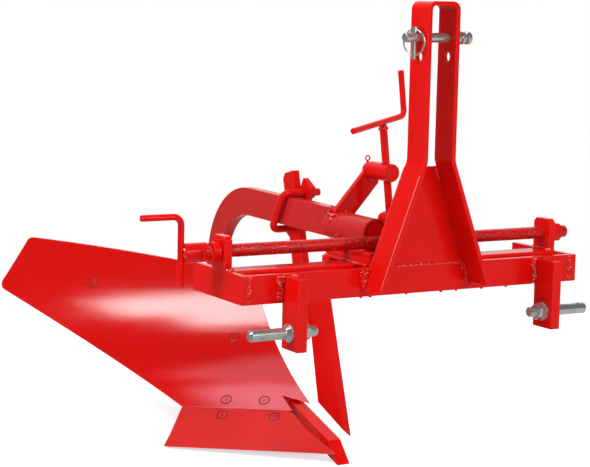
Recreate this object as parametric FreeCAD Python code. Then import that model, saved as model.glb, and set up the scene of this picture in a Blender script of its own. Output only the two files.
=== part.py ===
"""Single-furrow mouldboard plough for a three-point tractor hitch.

Directions: the plough is drawn towards -Y, +Z is up, -X is the furrow side
(the right-hand side of travel, where the soil is thrown) and +X is the land side.
Every piece is first laid out from one datum: the middle of the front bar's front
face, at the top of the bar.  Last, the whole plough is moved so that the centre of
the base of its bounding box is the origin.  All lengths are in millimetres.
"""
import FreeCAD, Part
import math
import os

V = FreeCAD.Vector
X_AXIS = V(1, 0, 0)
Y_AXIS = V(0, 1, 0)
Z_AXIS = V(0, 0, 1)
SIDES = {"furrow_side": -1.0, "land_side": 1.0}

# ---------------------------------------------------------------- cross frame
FRAME_WIDTH = 782.0            # over the outer faces of the end plates
BAR_HEIGHT = 55.0              # of the front bar, the rear bar and the end plates
FRONT_BAR_THICKNESS = 15.0
END_PLATE_THICKNESS = 12.0
END_PLATE_LENGTH = 200.0
REAR_BAR_GAP = 46.0            # between the front bar and the rear bar
REAR_BAR_DEPTH = 55.0
REAR_BAR_WALL = 5.0
REAR_BAR_CORNER = 6.0
EDGE_ROUND = 2.0               # rolled edge of the flat bars
HEX_CROWN = 0.96               # flat top of a nut or bolt head, against its width over flats
HEX_CONE_LAP = 0.2             # run-out of the turning cone below a nut, against its height

# ------------------------------------------------------- headstock (hitch mast)
STRAP_WIDTH = 60.0
STRAP_THICKNESS = 8.0
STRAP_OUTER_WIDTH = 72.0
STRAP_TOP = 511.0
STRAP_TOP_BEND = 9.0           # inner radius of the two top bends
LEG_BEND_HEIGHT = 207.0
LEG_BEND_RADIUS = 40.0
LEG_FOOT_OUTER_WIDTH = 258.0
LEG_FOOT_DEPTH = 40.0          # of the feet, below the top of the front bar
TOP_PIN_HEIGHT = 442.0
SPARE_HOLE_DROP = 36.0         # from the top pin to the spare top-link hole
TOP_HOLE_DIAMETER = 20.0
GUSSET_HEIGHT = 193.0
GUSSET_THICKNESS = 8.0
GUSSET_LEG_COVER = 4.0         # how far the gusset stops short of the legs' outer faces

# ------------------------------------------------------------------ hitch pins
LUG_SPACING = 572.0            # between the inner faces of the two hitch lugs
LUG_THICKNESS = 20.0
LUG_WIDTH = 60.0
LUG_BOTTOM = 140.0             # below the top of the front bar
LUG_TOP = 3.0
LOWER_PIN_DEPTH = 106.5
LOWER_PIN_DIAMETER = 22.0
LOWER_PIN_LENGTH = 87.0        # from the lug's outer face to the free end
LOWER_PIN_THREAD = 20.0
LOWER_PIN_TAIL = 36.0          # from the lug's inner face to the thread's end
COLLAR_DIAMETER = 36.0
COLLAR_FLANGE = 4.0
COLLAR_CONE = 8.0
LINCH_HOLE_DIAMETER = 11.0
LINCH_HOLE_INSET = 20.0
THREAD_CHAMFER = 2.0
PIN_END_CHAMFER = 3.0
CONE_STEP = 1.0                # of the cone's small end above the pin
LOWER_NUT_FLATS = 30.0
LOWER_NUT_HEIGHT = 16.0
LOWER_WASHER_DIAMETER = 37.0
LOWER_WASHER_THICKNESS = 3.0
PIN_HOLE_CLEARANCE = 0.25      # radial, of a pin or bolt in a fixed hole
SNUG_CLEARANCE = 0.05          # radial, of nuts and collars on their threads and shafts
TOP_PIN_DIAMETER = 19.0
TOP_PIN_HEAD_DIAMETER = 25.0
TOP_PIN_HEAD_STAND = 22.0      # from the strap's outer face to the knob
TOP_PIN_FLANGE = 6.0
TOP_PIN_NECK = 4.0             # length of the neck between flange and knob
TOP_PIN_NECK_DEPTH = 1.0       # below the pin's own surface
TOP_PIN_KNOB = 13.0
TOP_PIN_TAIL = 35.0            # from the strap's outer face to the pin's end
LINCH_SHANK_DIAMETER = 8.0
LINCH_SHANK_LENGTH = 52.0
LINCH_HEAD_DIAMETER = 15.0
LINCH_HEAD_HEIGHT = 9.0
LINCH_RING_RADIUS = 24.4
LINCH_RING_WIRE = 3.0
LINCH_INSET = 23.0             # from the pin's end to the linch pin
LINCH_RING_DROP = 9.0          # of the ring's middle, below the top pin
LINCH_TURN = 20.0              # of the ring about the linch pin, in degrees

# --------------------------------------------------------------- lateral screw
BEARING_WIDTH = 52.0
BEARING_HEIGHT = 65.0
BEARING_CHAMFER = 8.0
BEARING_THICKNESS = 15.0
SCREW_AXIS_Y = 97.5
SCREW_AXIS_HEIGHT = 34.5
SCREW_DIAMETER = 25.0
RUNNING_CLEARANCE = 0.08       # radial, of every turning shaft in its bore
SCREW_COLLAR_DIAMETER = 38.0
SCREW_COLLAR_LENGTH = 15.0
COLLAR_BOSS_DIAMETER = 32.0
COLLAR_BOSS_LENGTH = 1.5       # between the collar and the bearing
THRUST_CLEARANCE = 0.4         # end play of collar and nut at the bearings
HUB_DIAMETER = 37.0
HUB_LENGTH = 47.5
HUB_GAP = 11.0                 # bare screw between the collar and the crank hub
CRANK_ROD_DIAMETER = 12.5
CRANK_UP = 69.0                # axis of the grip above the screw
CRANK_DOWN = 63.0
CRANK_BEND_RADIUS = 16.0
CRANK_GRIP_LENGTH = 82.0
END_NUT_FLATS = 36.0
END_NUT_SPIN = 30.0            # so that one flat faces up, in degrees
END_NUT_HEIGHT = 27.0
SCREW_TAIL = 19.0              # beyond the end nut
LOCK_PIN_DIAMETER = 5.0
LOCK_PIN_REACH = 26.0          # from the screw's axis to either end of the lock pin
LOCK_PIN_INSET = 14.0          # from the hub's inner end to the lock pin
LOCK_RING_INSET = 4.0          # from the lock pin's end to its ring
LOCK_RING_HANG = 4.0           # slope of the ring, in degrees
LOCK_RING_TURN = 8.0           # of the ring about the upright through its hole, in degrees
LOCK_RING_RADIUS = 14.5
LOCK_RING_WIRE = 3.6
SCREW_IN_HUB = 12.0            # from the hub's outer end to the screw's end
CRANK_SADDLE = 2.0             # how far the crank bar is let into the hub's end

# -------------------------------------------------------------------- carriage
SLEEVE_AXIS_X = -30.0
SLEEVE_AXIS_HEIGHT = 49.0
SLEEVE_OUTER_DIAMETER = 60.0
SLEEVE_FRONT = 112.0
SLEEVE_LENGTH = 112.0
GREASE_BOSS_DIAMETER = 11.0
GREASE_BOSS_STAND = 6.0
GREASE_BOSS_INSET = 12.0       # from the sleeve's rear end
GREASE_BOSS_SLOPE = 30.0       # below the sleeve's side, in degrees
CARRIAGE_FRONT = 17.0
CARRIAGE_DEPTH = 165.0
CARRIAGE_FURROW_REACH = 76.0   # from the sleeve's axis to the furrow-side edge
CARRIAGE_LAND_REACH = 80.0
CARRIAGE_PLATE = 12.0
SLIDE_GAP = 1.0                # between the carriage and the rear bar
CARRIAGE_CORNER = 6.0
FRONT_FLANGE = 38.0            # thickness of the front guide, in front of the rear bar
REAR_FLANGE = 30.0
REAR_FLANGE_OVERHANG = 8.0     # beyond each side of the carriage plate
REAR_FLANGE_CORNER = 5.0
FLANGE_GAP = 2.0               # between the front flange and the rear bar
KEEPER_THICKNESS = 6.0
KEEPER_LAP = 12.0              # of the keeper under the front guide
REAR_BOLT_SPACE = 8.0          # between the rear bar and the rear bolts
CLAMP_BOLT_DIAMETER = 16.0
CLAMP_BOLT_FLATS = 24.0
CLAMP_HEAD_HEIGHT = 12.0
CLAMP_BOLT_INSET = 13.0        # from the plate's side edge to the bolt
FRONT_BOLT_INSET = 13.0        # from the front guide's front face to the bolt
FRONT_BOLT_DEPTH = 40.0        # of the bolt in the front guide
REAR_BOLT_DIAMETER = 12.0
REAR_BOLT_FLATS = 19.0
REAR_HEAD_HEIGHT = 8.0
NUT_BLOCK_LENGTH = 44.0
NUT_BLOCK_WIDTH = 40.0
NUT_BLOCK_OFFSET = 4.0         # from the sleeve's side
SADDLE_WIDTH = 44.0
SADDLE_INSET = 6.0             # from the sleeve's front end
SADDLE_TOP = 30.0
TRUNNION_X = 48.0
TRUNNION_HEIGHT = 66.0
TRUNNION_DIAMETER = 31.0
TRUNNION_BORE_LENGTH = 40.0
TRUNNION_CHEEK = 8.0
TRUNNION_EAR = 12.0            # half the height of the cheeks at the trunnion
SPIGOT_DIAMETER = 16.0
RUNNING_GAP = 0.5              # end play of the trunnion between its cheeks

# ------------------------------------------------------- beam and rolling unit
BEAM_HEIGHT = 62.0
BEAM_THICKNESS = 25.0
BEAM_TOP = 84.5                # at the collar, above the top of the front bar
BEAM_RISE = 0.6                # of the beam towards the rear, in degrees
BEAM_COLLAR_LENGTH = 46.0
BEAM_BEND_Y = 630.0            # centre of the gooseneck's bend
BEAM_BEND_RADIUS = 158.0       # to the middle of the bar
BEAM_TURN = 130.0              # of the whole gooseneck, in degrees
BEAM_FOOT_RUN = 150.0          # straight part below the bend
PIVOT_SHAFT_DIAMETER = 40.0
ROLL_CLEARANCE = 1.0           # between the sleeve's ends and what turns on it
RETAINER_DIAMETER = 48.0
RETAINER_THICKNESS = 4.0
RETAINER_ROOM = 8.0            # depth of the sleeve's counterbore
ARM_WIDTH = 41.0
ARM_LEAN = 41.5                # of the roll arm towards the land side, in degrees
ARM_OFFSET = 9.7               # from the arm's middle line to the cross pin's axis
ARM_EYE_DIAMETER = 33.0
ARM_THICKNESS = 12.0
ARM_MIDDLE_Y = 241.0
ARM_KNEE = 118.0               # from the eye back to the arm's bent foot
ARM_TOE_SLOPE = 45.0           # of the line from the collar's axis to the foot's toe
ROLL_PIN_X = 36.0
ROLL_PIN_HEIGHT = 163.7
ROLL_PIN_DIAMETER = 37.0
ROLL_PIN_LENGTH = 73.0
ROLL_SPIGOT_DIAMETER = 20.0
ROLL_SPIGOT_LENGTH = 24.0
ROLL_SCREW_DIAMETER = 16.0
ROLL_SCREW_Y = 180.0
ROLL_SCREW_TOP = 97.5          # from the roll pin's axis to the T-bar
ROLL_SCREW_BORE_CLEARANCE = 1.9
SPLIT_PIN_DIAMETER = 4.5
SPLIT_PIN_INSET = 5.0          # from the cross pin's rear end
SPLIT_PIN_LEG = 15.0           # below the cross pin's axis
SPLIT_PIN_EYE_HEIGHT = 23.0    # above the cross pin's axis
SPLIT_PIN_EYE_RADIUS = 5.0
SPLIT_PIN_WIRE = 3.0
T_BAR_DIAMETER = 12.5
T_BAR_LONG_ARM = 119.5
T_BAR_SHORT_ARM = 89.5
T_BAR_GRIP = 94.0
T_BAR_BEND = 14.0
T_BAR_TURN = 27.5              # of the T-bar about the screw, in degrees

# --------------------------------------------------------------------- coulter
COULTER_RAKE = 15.1            # of the shank, forwards going down, in degrees
COULTER_SHANK_DEPTH = 42.0
COULTER_SHANK_THICKNESS = 18.0
COULTER_AT_BEAM_Y = 472.0      # middle of the shank at mid-height of the beam
COULTER_TOP = 136.0
COULTER_TOP_CHAMFER = 10.0
COULTER_SHANK_LENGTH = 345.0
COULTER_BLADE_THICKNESS = 9.0
COULTER_GROUND_WIDTH = 22.0    # of the blade's two ground faces
COULTER_EDGE = 1.5             # thickness left at the cutting edge
COULTER_BLADE_CORNERS = [(414, -70), (313, -118), (220, -394), (348, -347), (400, -143)]
U_BOLT_DIAMETER = 16.0
U_BOLT_UPPER_Y = 448.0
U_BOLT_LOWER_Y = 494.0
U_BOLT_BEND = 15.0
U_BOLT_SIDE_GAP = 2.5          # between the U-bolt and the beam's furrow-side face
U_BOLT_LOWER_GAP = 5.0         # between the U-bolt and the beam's underside
U_NUT_HEIGHT = 13.0
U_BOLT_REACH = 36.0            # of the threaded ends beyond the shank
CLAMP_PLATE_THICKNESS = 10.0
CLAMP_PLATE_WIDTH = 42.0
CLAMP_PLATE_LENGTH = 148.0
U_NUT_FLATS = 24.0
CLAMP_PLATE_CORNER = 5.0

# ----------------------------------------------------------------- plough body
GROUND = -455.6                # level of the landside's sole
SHARE_ANGLE = 44.8             # of the share's edge against the line of draught
BODY_ROLL = 2.6                # the wing lies this much lower, in degrees
SHARE_TIP_X = -34.0
SHARE_TIP_Y = 234.3
SHARE_TIP_LIFT = 22.0          # above the ground
SHARE_PITCH = 33.0
SHARE_RISE = 66.0
SHARE_THICKNESS = 8.0
SHARE_BEVEL = 4.0              # width of the ground cutting edge
SHARE_WING_END = [(384, 0), (379, 21), (374, 66)]   # along and up
SHARE_NOSE = [(131, 66), (78, 35), (0, 0)]          # beside the bar point
JOINT_GAP = 0.6                # seam between share and mouldboard
BOARD_THICKNESS = 6.0
BOARD_START_PITCH = 34.0
BOARD_RADIUS = 520.0
BOARD_CORNER = 16.0
BOARD_TOP = [(180, 316), (340, 345), (541, 377), (822, 411)]   # shin end to wing, along and up
BOARD_WING = (891, 297)
BOARD_SOLE = [(620, 171), (374, 66)]
BOARD_NOTCH = [(122, 66), (153, 91), (40, 71)]       # above the bar point, up to the shin
SHIN_X = -3.0                  # upright plane of the landside's outer face
SHIN_INSET = 8.5               # of the mouldboard's shin behind that plane
POINT_SIZE = 30.0
POINT_PITCH = 17.0
POINT_BEVEL = 47.5
POINT_TIP_Y = 229.5
POINT_LENGTH = 330.0
LANDSIDE_THICKNESS = 12.0
LANDSIDE_HEIGHT = 70.0
LANDSIDE_FRONT = 320.0
LANDSIDE_REAR = 820.0
FIT_GAP = 1.0                  # between pieces that lie side by side
LANDSIDE_HEEL = 18.0           # chamfer at the landside's ends
SOCKET_WALL = 8.0              # of the bar point's holder
SOCKET_FRONT = 215.0           # along the bar point, from its tip
SOCKET_LENGTH = 90.0
SEAT_THICKNESS = 10.0
SEAT_REACH = (138, 330)        # of the frog's face along the share's edge
SEAT_HEIGHT = (30, 250)
WEB_THICKNESS = 10.0
WEB_FOOT = [(380, 12), (700, 12), (700, 93)]        # back and above the ground
WEB_HEAD = [(680, -337), (630, -295), (608, -200), (520, -200)]   # at the beam
LANDSIDE_BOLTS = [560, 670]    # along the landside
LANDSIDE_BOLT_LIFT = 43.0      # above the ground
STAY_DIAMETER = 22.0
STAY_FOOT_Y = 680.0
STAY_FOOT_LIFT = 60.0          # above the ground
STAY_PAD = 46.0
PLATE_BOLTS = [(292, 199), (278, 81), (191, 82)]     # mouldboard on the frog
WING_BOLT = (655, 308)         # mouldboard on its stay
SHARE_BOLTS = [(276, 55), (157, 56)]
PLOUGH_BOLT_DIAMETER = 10.0
PLOUGH_BOLT_HEAD = 22.0
COUNTERSINK_GAP = 0.6          # radial, of a countersunk head in its seat
PLOUGH_NUT_FLATS = 17.0
PLOUGH_NUT_HEIGHT = 9.0
PLOUGH_BOLT_TAIL = 4.0         # beyond the nut
NUT_SEAT_GAP = 1.2             # under a nut on a curved plate
SHARE_EDGE_LAND = 0.4          # share of the bevel left under the cutting edge
POINT_NOTCH_GAP = 2.0          # round the bar point where it leaves the mouldboard
BODY_SPAN = 1000.0             # longer than any piece of the plough body

# ------------------------------------------------------- places worked out
HALF = FRAME_WIDTH / 2
INNER_HALF = HALF - END_PLATE_THICKNESS
REAR_BAR_FRONT = FRONT_BAR_THICKNESS + REAR_BAR_GAP
REAR_BAR_BACK = REAR_BAR_FRONT + REAR_BAR_DEPTH
LUG_INNER = LUG_SPACING / 2
LUG_OUTER = LUG_INNER + LUG_THICKNESS
HITCH_Y = -LUG_WIDTH / 2
STRAP_HALF = STRAP_OUTER_WIDTH / 2
SLEEVE_BACK = SLEEVE_FRONT + SLEEVE_LENGTH
COLLAR_BACK = SLEEVE_BACK + ROLL_CLEARANCE + BEAM_COLLAR_LENGTH
BEAM_MIDDLE_HEIGHT = BEAM_TOP - BEAM_HEIGHT / 2
BEAM_LAND_FACE = SLEEVE_AXIS_X + BEAM_THICKNESS / 2
BEAM_FURROW_FACE = SLEEVE_AXIS_X - BEAM_THICKNESS / 2
PLATE_BOTTOM = SLIDE_GAP
PLATE_TOP = SLIDE_GAP + CARRIAGE_PLATE
CARRIAGE_FURROW = SLEEVE_AXIS_X - CARRIAGE_FURROW_REACH
CARRIAGE_LAND = SLEEVE_AXIS_X + CARRIAGE_LAND_REACH
POINT_LAND_FACE = SHIN_X
POINT_FURROW_FACE = POINT_LAND_FACE - POINT_SIZE
HUB_START = HALF + THRUST_CLEARANCE + COLLAR_BOSS_LENGTH + SCREW_COLLAR_LENGTH + HUB_GAP
HUB_END = HUB_START + HUB_LENGTH
LOCK_PIN_X = HUB_START + LOCK_PIN_INSET
SHARE_TIP = V(SHARE_TIP_X, SHARE_TIP_Y, GROUND + SHARE_TIP_LIFT)
BODY_GRIP = BOARD_THICKNESS + SEAT_THICKNESS     # of every bolt through the frog's face
KEEPER_TOP = -(BAR_HEIGHT + SLIDE_GAP)
JOINT_U = SHARE_RISE / math.tan(math.radians(SHARE_PITCH))
BOARD_AXIS_U = JOINT_U - BOARD_RADIUS * math.sin(math.radians(BOARD_START_PITCH))
BOARD_AXIS_W = SHARE_RISE + BOARD_RADIUS * math.cos(math.radians(BOARD_START_PITCH))


# ================================================================ helper shapes
def box(x0, x1, y0, y1, z0, z1):
    """Axis-aligned block between two corners."""
    return Part.makeBox(x1 - x0, y1 - y0, z1 - z0, V(x0, y0, z0))


def rod(start, end, diameter):
    """Solid round bar between two points."""
    along = end - start
    return Part.makeCylinder(diameter / 2, along.Length, start, along)


def prism(points, along):
    """Solid swept from a closed polygon."""
    outline = Part.makePolygon(list(points) + [points[0]])
    return Part.Face(outline).extrude(along)


def hexagon(centre, along, flats, spin=0.0):
    """Nut or bolt head, spun some degrees: a hexagonal prism with its outer corners turned off."""
    turn = FreeCAD.Rotation(Z_AXIS, along)
    corner = flats / math.sqrt(3)
    points = []
    for k in range(6):
        angle = math.radians(60 * k + spin)
        points.append(centre + turn.multVec(V(corner * math.cos(angle), corner * math.sin(angle), 0)))
    blank = prism(points, along)
    unit = V(along).normalize()
    height = along.Length
    slack = height * HEX_CONE_LAP
    cone = Part.makeCone(flats / 2 + height + slack, flats / 2 * HEX_CROWN, height + slack,
                         centre - unit * slack, unit)
    return blank.common(cone)


def round_edges(solid, axis, radius):
    """Round every straight edge of a solid that runs along one axis."""
    chosen = []
    for edge in solid.Edges:
        if not isinstance(edge.Curve, Part.Line):
            continue
        if abs(edge.Curve.Direction.dot(axis)) > 0.9999:
            chosen.append(edge)
    return solid.makeFillet(radius, chosen)


def round_rims(solid, along, radius):
    """Round the long edges on both faces of a flat bar cut out along one direction."""
    chosen = []
    for edge in solid.Edges:
        ends = edge.Vertexes
        if len(ends) == 2 and abs((ends[0].Point - ends[1].Point).dot(along)) < EDGE_ROUND / 10:
            chosen.append(edge)
    return solid.makeFillet(radius, chosen)


def bend_edges(points, radii):
    """Straight runs joined by tangent arcs, one radius for each inner point."""
    edges = []
    last = points[0]
    for k in range(1, len(points) - 1):
        before = (points[k - 1] - points[k]).normalize()
        after = (points[k + 1] - points[k]).normalize()
        half = before.getAngle(after) / 2
        reach = radii[k - 1] / math.tan(half)
        inward = (before + after).normalize()
        start = points[k] + before * reach
        end = points[k] + after * reach
        middle = points[k] + inward * (radii[k - 1] / math.sin(half) - radii[k - 1])
        edges.append(Part.makeLine(last, start))
        edges.append(Part.Arc(start, middle, end).toShape())
        last = end
    edges.append(Part.makeLine(last, points[-1]))
    return edges


def bent_rod(points, radii, diameter):
    """Round bar bent along straight runs and tangent arcs."""
    wire = Part.Wire(bend_edges(points, radii))
    first = (points[1] - points[0]).normalize()
    section = Part.Wire([Part.makeCircle(diameter / 2, points[0], first)])
    return wire.makePipeShell([section], True, False)


def bent_flat(points, radii, thickness, along):
    """Flat bar bent along a flat path: its section is thickness by the length of along."""
    normal = V(along).normalize()
    sides = []
    for sign in (1.0, -1.0):
        moved = []
        for k in range(len(points)):
            shift = V(0, 0, 0)
            if k == 0 or k == len(points) - 1:
                run = points[1] - points[0] if k == 0 else points[-1] - points[-2]
                shift = run.cross(normal).normalize() * (sign * thickness / 2)
            else:
                one = (points[k] - points[k - 1]).cross(normal).normalize()
                two = (points[k + 1] - points[k]).cross(normal).normalize()
                both = (one + two).normalize()
                shift = both * (sign * thickness / 2 / both.dot(one))
            moved.append(points[k] + shift)
        new_radii = []
        for k in range(1, len(points) - 1):
            one = (points[k] - points[k - 1]).cross(normal)
            outward = one.dot(points[k + 1] - points[k])
            new_radii.append(radii[k - 1] + (1.0 if outward < 0 else -1.0) * sign * thickness / 2)
        sides.append(bend_edges(moved, new_radii))
    ends = [Part.makeLine(sides[0][0].Vertexes[0].Point, sides[1][0].Vertexes[0].Point)]
    ends.append(Part.makeLine(sides[0][-1].Vertexes[-1].Point, sides[1][-1].Vertexes[-1].Point))
    wire = Part.Wire(Part.sortEdges(sides[0] + sides[1] + ends)[0])
    return Part.Face(wire).extrude(along)


def turned(profile, start, along):
    """Solid of revolution from steps of (distance along the axis, radius)."""
    points = [V(0, 0, profile[0][0])]
    for distance, radius in profile:
        points.append(V(radius, 0, distance))
    points.append(V(0, 0, profile[-1][0]))
    face = Part.Face(Part.makePolygon(points + [points[0]]))
    solid = face.revolve(V(0, 0, 0), Z_AXIS, 360)
    solid.Placement = FreeCAD.Placement(start, FreeCAD.Rotation(Z_AXIS, along))
    return solid


def ring(centre, axis, radius, wire):
    """Closed ring of round wire."""
    return Part.makeTorus(radius, wire / 2, centre, axis)


# =================================================================== the frame
def front_bar():
    """Flat bar across the front."""
    bar = box(-INNER_HALF, INNER_HALF, 0, FRONT_BAR_THICKNESS, -BAR_HEIGHT, 0)
    return round_edges(bar, X_AXIS, EDGE_ROUND)


def end_plate(side):
    """Flat plate that closes one end of the frame."""
    middle = SIDES[side] * (INNER_HALF + END_PLATE_THICKNESS / 2)
    half = END_PLATE_THICKNESS / 2
    plate = box(middle - half, middle + half, 0, END_PLATE_LENGTH, -BAR_HEIGHT, 0)
    return round_edges(plate, X_AXIS, EDGE_ROUND)


def rear_bar():
    """Square tube the carriage slides on."""
    outer = box(-INNER_HALF, INNER_HALF, REAR_BAR_FRONT, REAR_BAR_BACK, -BAR_HEIGHT, 0)
    outer = round_edges(outer, X_AXIS, REAR_BAR_CORNER)
    wall = REAR_BAR_WALL
    bore = box(-INNER_HALF, INNER_HALF, REAR_BAR_FRONT + wall, REAR_BAR_BACK - wall,
               wall - BAR_HEIGHT, -wall)
    return outer.cut(round_edges(bore, X_AXIS, REAR_BAR_CORNER - REAR_BAR_WALL))


def leg_slope():
    """Sideways run of a headstock leg for each unit of drop."""
    spread = LEG_FOOT_OUTER_WIDTH / 2 - STRAP_HALF
    return spread / (LEG_BEND_HEIGHT + LEG_FOOT_DEPTH)


def headstock_strap():
    """Flat bar bent to an upright yoke whose two legs splay to the front bar."""
    slope = leg_slope()
    half = STRAP_HALF - STRAP_THICKNESS / 2
    knee = LEG_BEND_HEIGHT - STRAP_THICKNESS / 2 * math.tan(math.atan(slope) / 2)
    top = STRAP_TOP - STRAP_THICKNESS / 2
    drop = LEG_BEND_HEIGHT + LEG_FOOT_DEPTH + STRAP_THICKNESS
    side = [V(half + slope * drop, -STRAP_WIDTH, knee - drop)]
    side.append(V(half, -STRAP_WIDTH, knee))
    side.append(V(half, -STRAP_WIDTH, top))
    points = side + [V(-p.x, p.y, p.z) for p in reversed(side)]
    top_bend = STRAP_TOP_BEND + STRAP_THICKNESS / 2
    radii = [LEG_BEND_RADIUS, top_bend, top_bend, LEG_BEND_RADIUS]
    strap = bent_flat(points, radii, STRAP_THICKNESS, V(0, STRAP_WIDTH, 0))
    wide = LEG_FOOT_OUTER_WIDTH
    strap = strap.cut(box(-wide, wide, -wide, wide, -wide, -LEG_FOOT_DEPTH))
    for height in (TOP_PIN_HEIGHT, TOP_PIN_HEIGHT - SPARE_HOLE_DROP):
        start = V(-STRAP_OUTER_WIDTH, HITCH_Y, height)
        strap = strap.cut(rod(start, V(STRAP_OUTER_WIDTH, HITCH_Y, height), TOP_HOLE_DIAMETER))
    return strap


def headstock_gusset():
    """Plate behind the splayed legs, standing on the front bar."""
    slope = leg_slope()
    foot = STRAP_HALF + slope * LEG_BEND_HEIGHT - GUSSET_LEG_COVER
    head = foot - slope * GUSSET_HEIGHT
    outline = [V(-foot, 0, 0), V(foot, 0, 0), V(head, 0, GUSSET_HEIGHT), V(-head, 0, GUSSET_HEIGHT)]
    return prism(outline, V(0, GUSSET_THICKNESS, 0))


def hitch_lug(side):
    """Upright plate below the front bar that holds one lower hitch pin."""
    inner = SIDES[side] * LUG_INNER
    outer = SIDES[side] * LUG_OUTER
    x0 = min(inner, outer)
    x1 = max(inner, outer)
    lug = box(x0, x1, -LUG_WIDTH, 0, -LUG_BOTTOM, -LUG_TOP)
    lug = round_edges(lug, X_AXIS, EDGE_ROUND)
    start = V(x0, HITCH_Y, -LOWER_PIN_DEPTH)
    bore = LOWER_PIN_THREAD + 2 * PIN_HOLE_CLEARANCE
    return lug.cut(rod(start, start + V(LUG_THICKNESS, 0, 0), bore))


def lower_pin(side):
    """Shouldered hitch pin, threaded through the lug, with a hole for a linch pin."""
    along = X_AXIS * SIDES[side]
    start = V(SIDES[side] * LUG_OUTER, HITCH_Y, -LOWER_PIN_DEPTH)
    thread = LOWER_PIN_THREAD / 2
    body = LOWER_PIN_DIAMETER / 2
    flange = COLLAR_DIAMETER / 2
    tail = -(LUG_THICKNESS + LOWER_PIN_TAIL)
    cone_end = COLLAR_FLANGE + COLLAR_CONE
    steps = [(tail, thread - THREAD_CHAMFER), (tail + THREAD_CHAMFER, thread), (0, thread), (0, flange)]
    steps += [(COLLAR_FLANGE, flange), (cone_end, body + CONE_STEP), (cone_end, body)]
    steps += [(LOWER_PIN_LENGTH - PIN_END_CHAMFER, body), (LOWER_PIN_LENGTH, body - PIN_END_CHAMFER)]
    pin = turned(steps, start, along)
    cross = start + along * (LOWER_PIN_LENGTH - LINCH_HOLE_INSET)
    reach = Z_AXIS * LOWER_PIN_DIAMETER
    return pin.cut(rod(cross - reach, cross + reach, LINCH_HOLE_DIAMETER))


def lower_pin_nut(side):
    """Washer and nut on the inner end of a lower hitch pin, as one piece."""
    inwards = X_AXIS * -SIDES[side]
    start = V(SIDES[side] * LUG_INNER, HITCH_Y, -LOWER_PIN_DEPTH)
    seat = start + inwards * LOWER_WASHER_THICKNESS
    washer = rod(start, seat, LOWER_WASHER_DIAMETER)
    nut = hexagon(seat, inwards * LOWER_NUT_HEIGHT, LOWER_NUT_FLATS)
    hole = rod(start, seat + inwards * LOWER_NUT_HEIGHT, LOWER_PIN_THREAD + 2 * SNUG_CLEARANCE)
    return washer.fuse(nut).cut(hole)


def top_pin():
    """Top-link pin with a knob at the land side."""
    tail = V(-STRAP_HALF - TOP_PIN_TAIL, HITCH_Y, TOP_PIN_HEIGHT)
    shank = TOP_PIN_DIAMETER / 2
    head = TOP_PIN_HEAD_DIAMETER / 2
    flange = TOP_PIN_TAIL + STRAP_OUTER_WIDTH + TOP_PIN_HEAD_STAND
    neck_start = flange + TOP_PIN_FLANGE
    knob = neck_start + TOP_PIN_NECK
    knob_end = knob + TOP_PIN_KNOB
    neck = shank - TOP_PIN_NECK_DEPTH
    bevel = PIN_END_CHAMFER
    steps = [(0, shank - THREAD_CHAMFER), (THREAD_CHAMFER, shank), (flange, shank), (flange, head)]
    steps += [(neck_start, head), (neck_start, neck), (knob, neck), (knob, head - bevel)]
    steps += [(knob + bevel, head), (knob_end - bevel, head), (knob_end, head - bevel)]
    pin = turned(steps, tail, X_AXIS)
    cross = tail + X_AXIS * LINCH_INSET
    reach = Z_AXIS * TOP_PIN_DIAMETER
    bore = LINCH_SHANK_DIAMETER + 2 * PIN_HOLE_CLEARANCE
    return pin.cut(rod(cross - reach, cross + reach, bore))


def linch_ring_centre():
    """Middle of the linch pin's ring."""
    x = -STRAP_HALF - TOP_PIN_TAIL + LINCH_INSET
    return V(x, HITCH_Y, TOP_PIN_HEIGHT - LINCH_RING_DROP)


def linch_pin_ring(slack=0.0):
    """Spring ring that holds the linch pin in place; slack widens it for its holes."""
    turn = FreeCAD.Rotation(Z_AXIS, LINCH_TURN)
    wire = LINCH_RING_WIRE + 2 * slack
    return ring(linch_ring_centre(), turn.multVec(X_AXIS), LINCH_RING_RADIUS, wire)


def linch_pin():
    """Linch pin standing in the top pin, its ring passing through both ends."""
    centre = linch_ring_centre()
    head_top = centre + Z_AXIS * (LINCH_RING_RADIUS + LINCH_HEAD_HEIGHT / 2)
    head_base = head_top - Z_AXIS * LINCH_HEAD_HEIGHT
    foot = head_base - Z_AXIS * LINCH_SHANK_LENGTH
    pin = rod(foot, head_base, LINCH_SHANK_DIAMETER)
    pin = pin.fuse(rod(head_base, head_top, LINCH_HEAD_DIAMETER))
    return pin.cut(linch_pin_ring(SNUG_CLEARANCE))


def screw_bearing(side):
    """Plate standing on an end plate, bored for the lateral screw."""
    x0 = min(SIDES[side] * HALF, SIDES[side] * (HALF - BEARING_THICKNESS))
    half = BEARING_WIDTH / 2
    shoulder = BEARING_HEIGHT - BEARING_CHAMFER
    outline = [(-half, 0), (half, 0), (half, shoulder), (half - BEARING_CHAMFER, BEARING_HEIGHT),
               (BEARING_CHAMFER - half, BEARING_HEIGHT), (-half, shoulder)]
    points = [V(x0, SCREW_AXIS_Y + y, z) for y, z in outline]
    plate = prism(points, V(BEARING_THICKNESS, 0, 0))
    start = V(x0, SCREW_AXIS_Y, SCREW_AXIS_HEIGHT)
    bore = SCREW_DIAMETER + 2 * RUNNING_CLEARANCE
    return plate.cut(rod(start, start + V(BEARING_THICKNESS, 0, 0), bore))


# =========================================================== the lateral screw
def screw_point(x):
    """Point on the lateral screw's axis."""
    return V(x, SCREW_AXIS_Y, SCREW_AXIS_HEIGHT)


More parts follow.
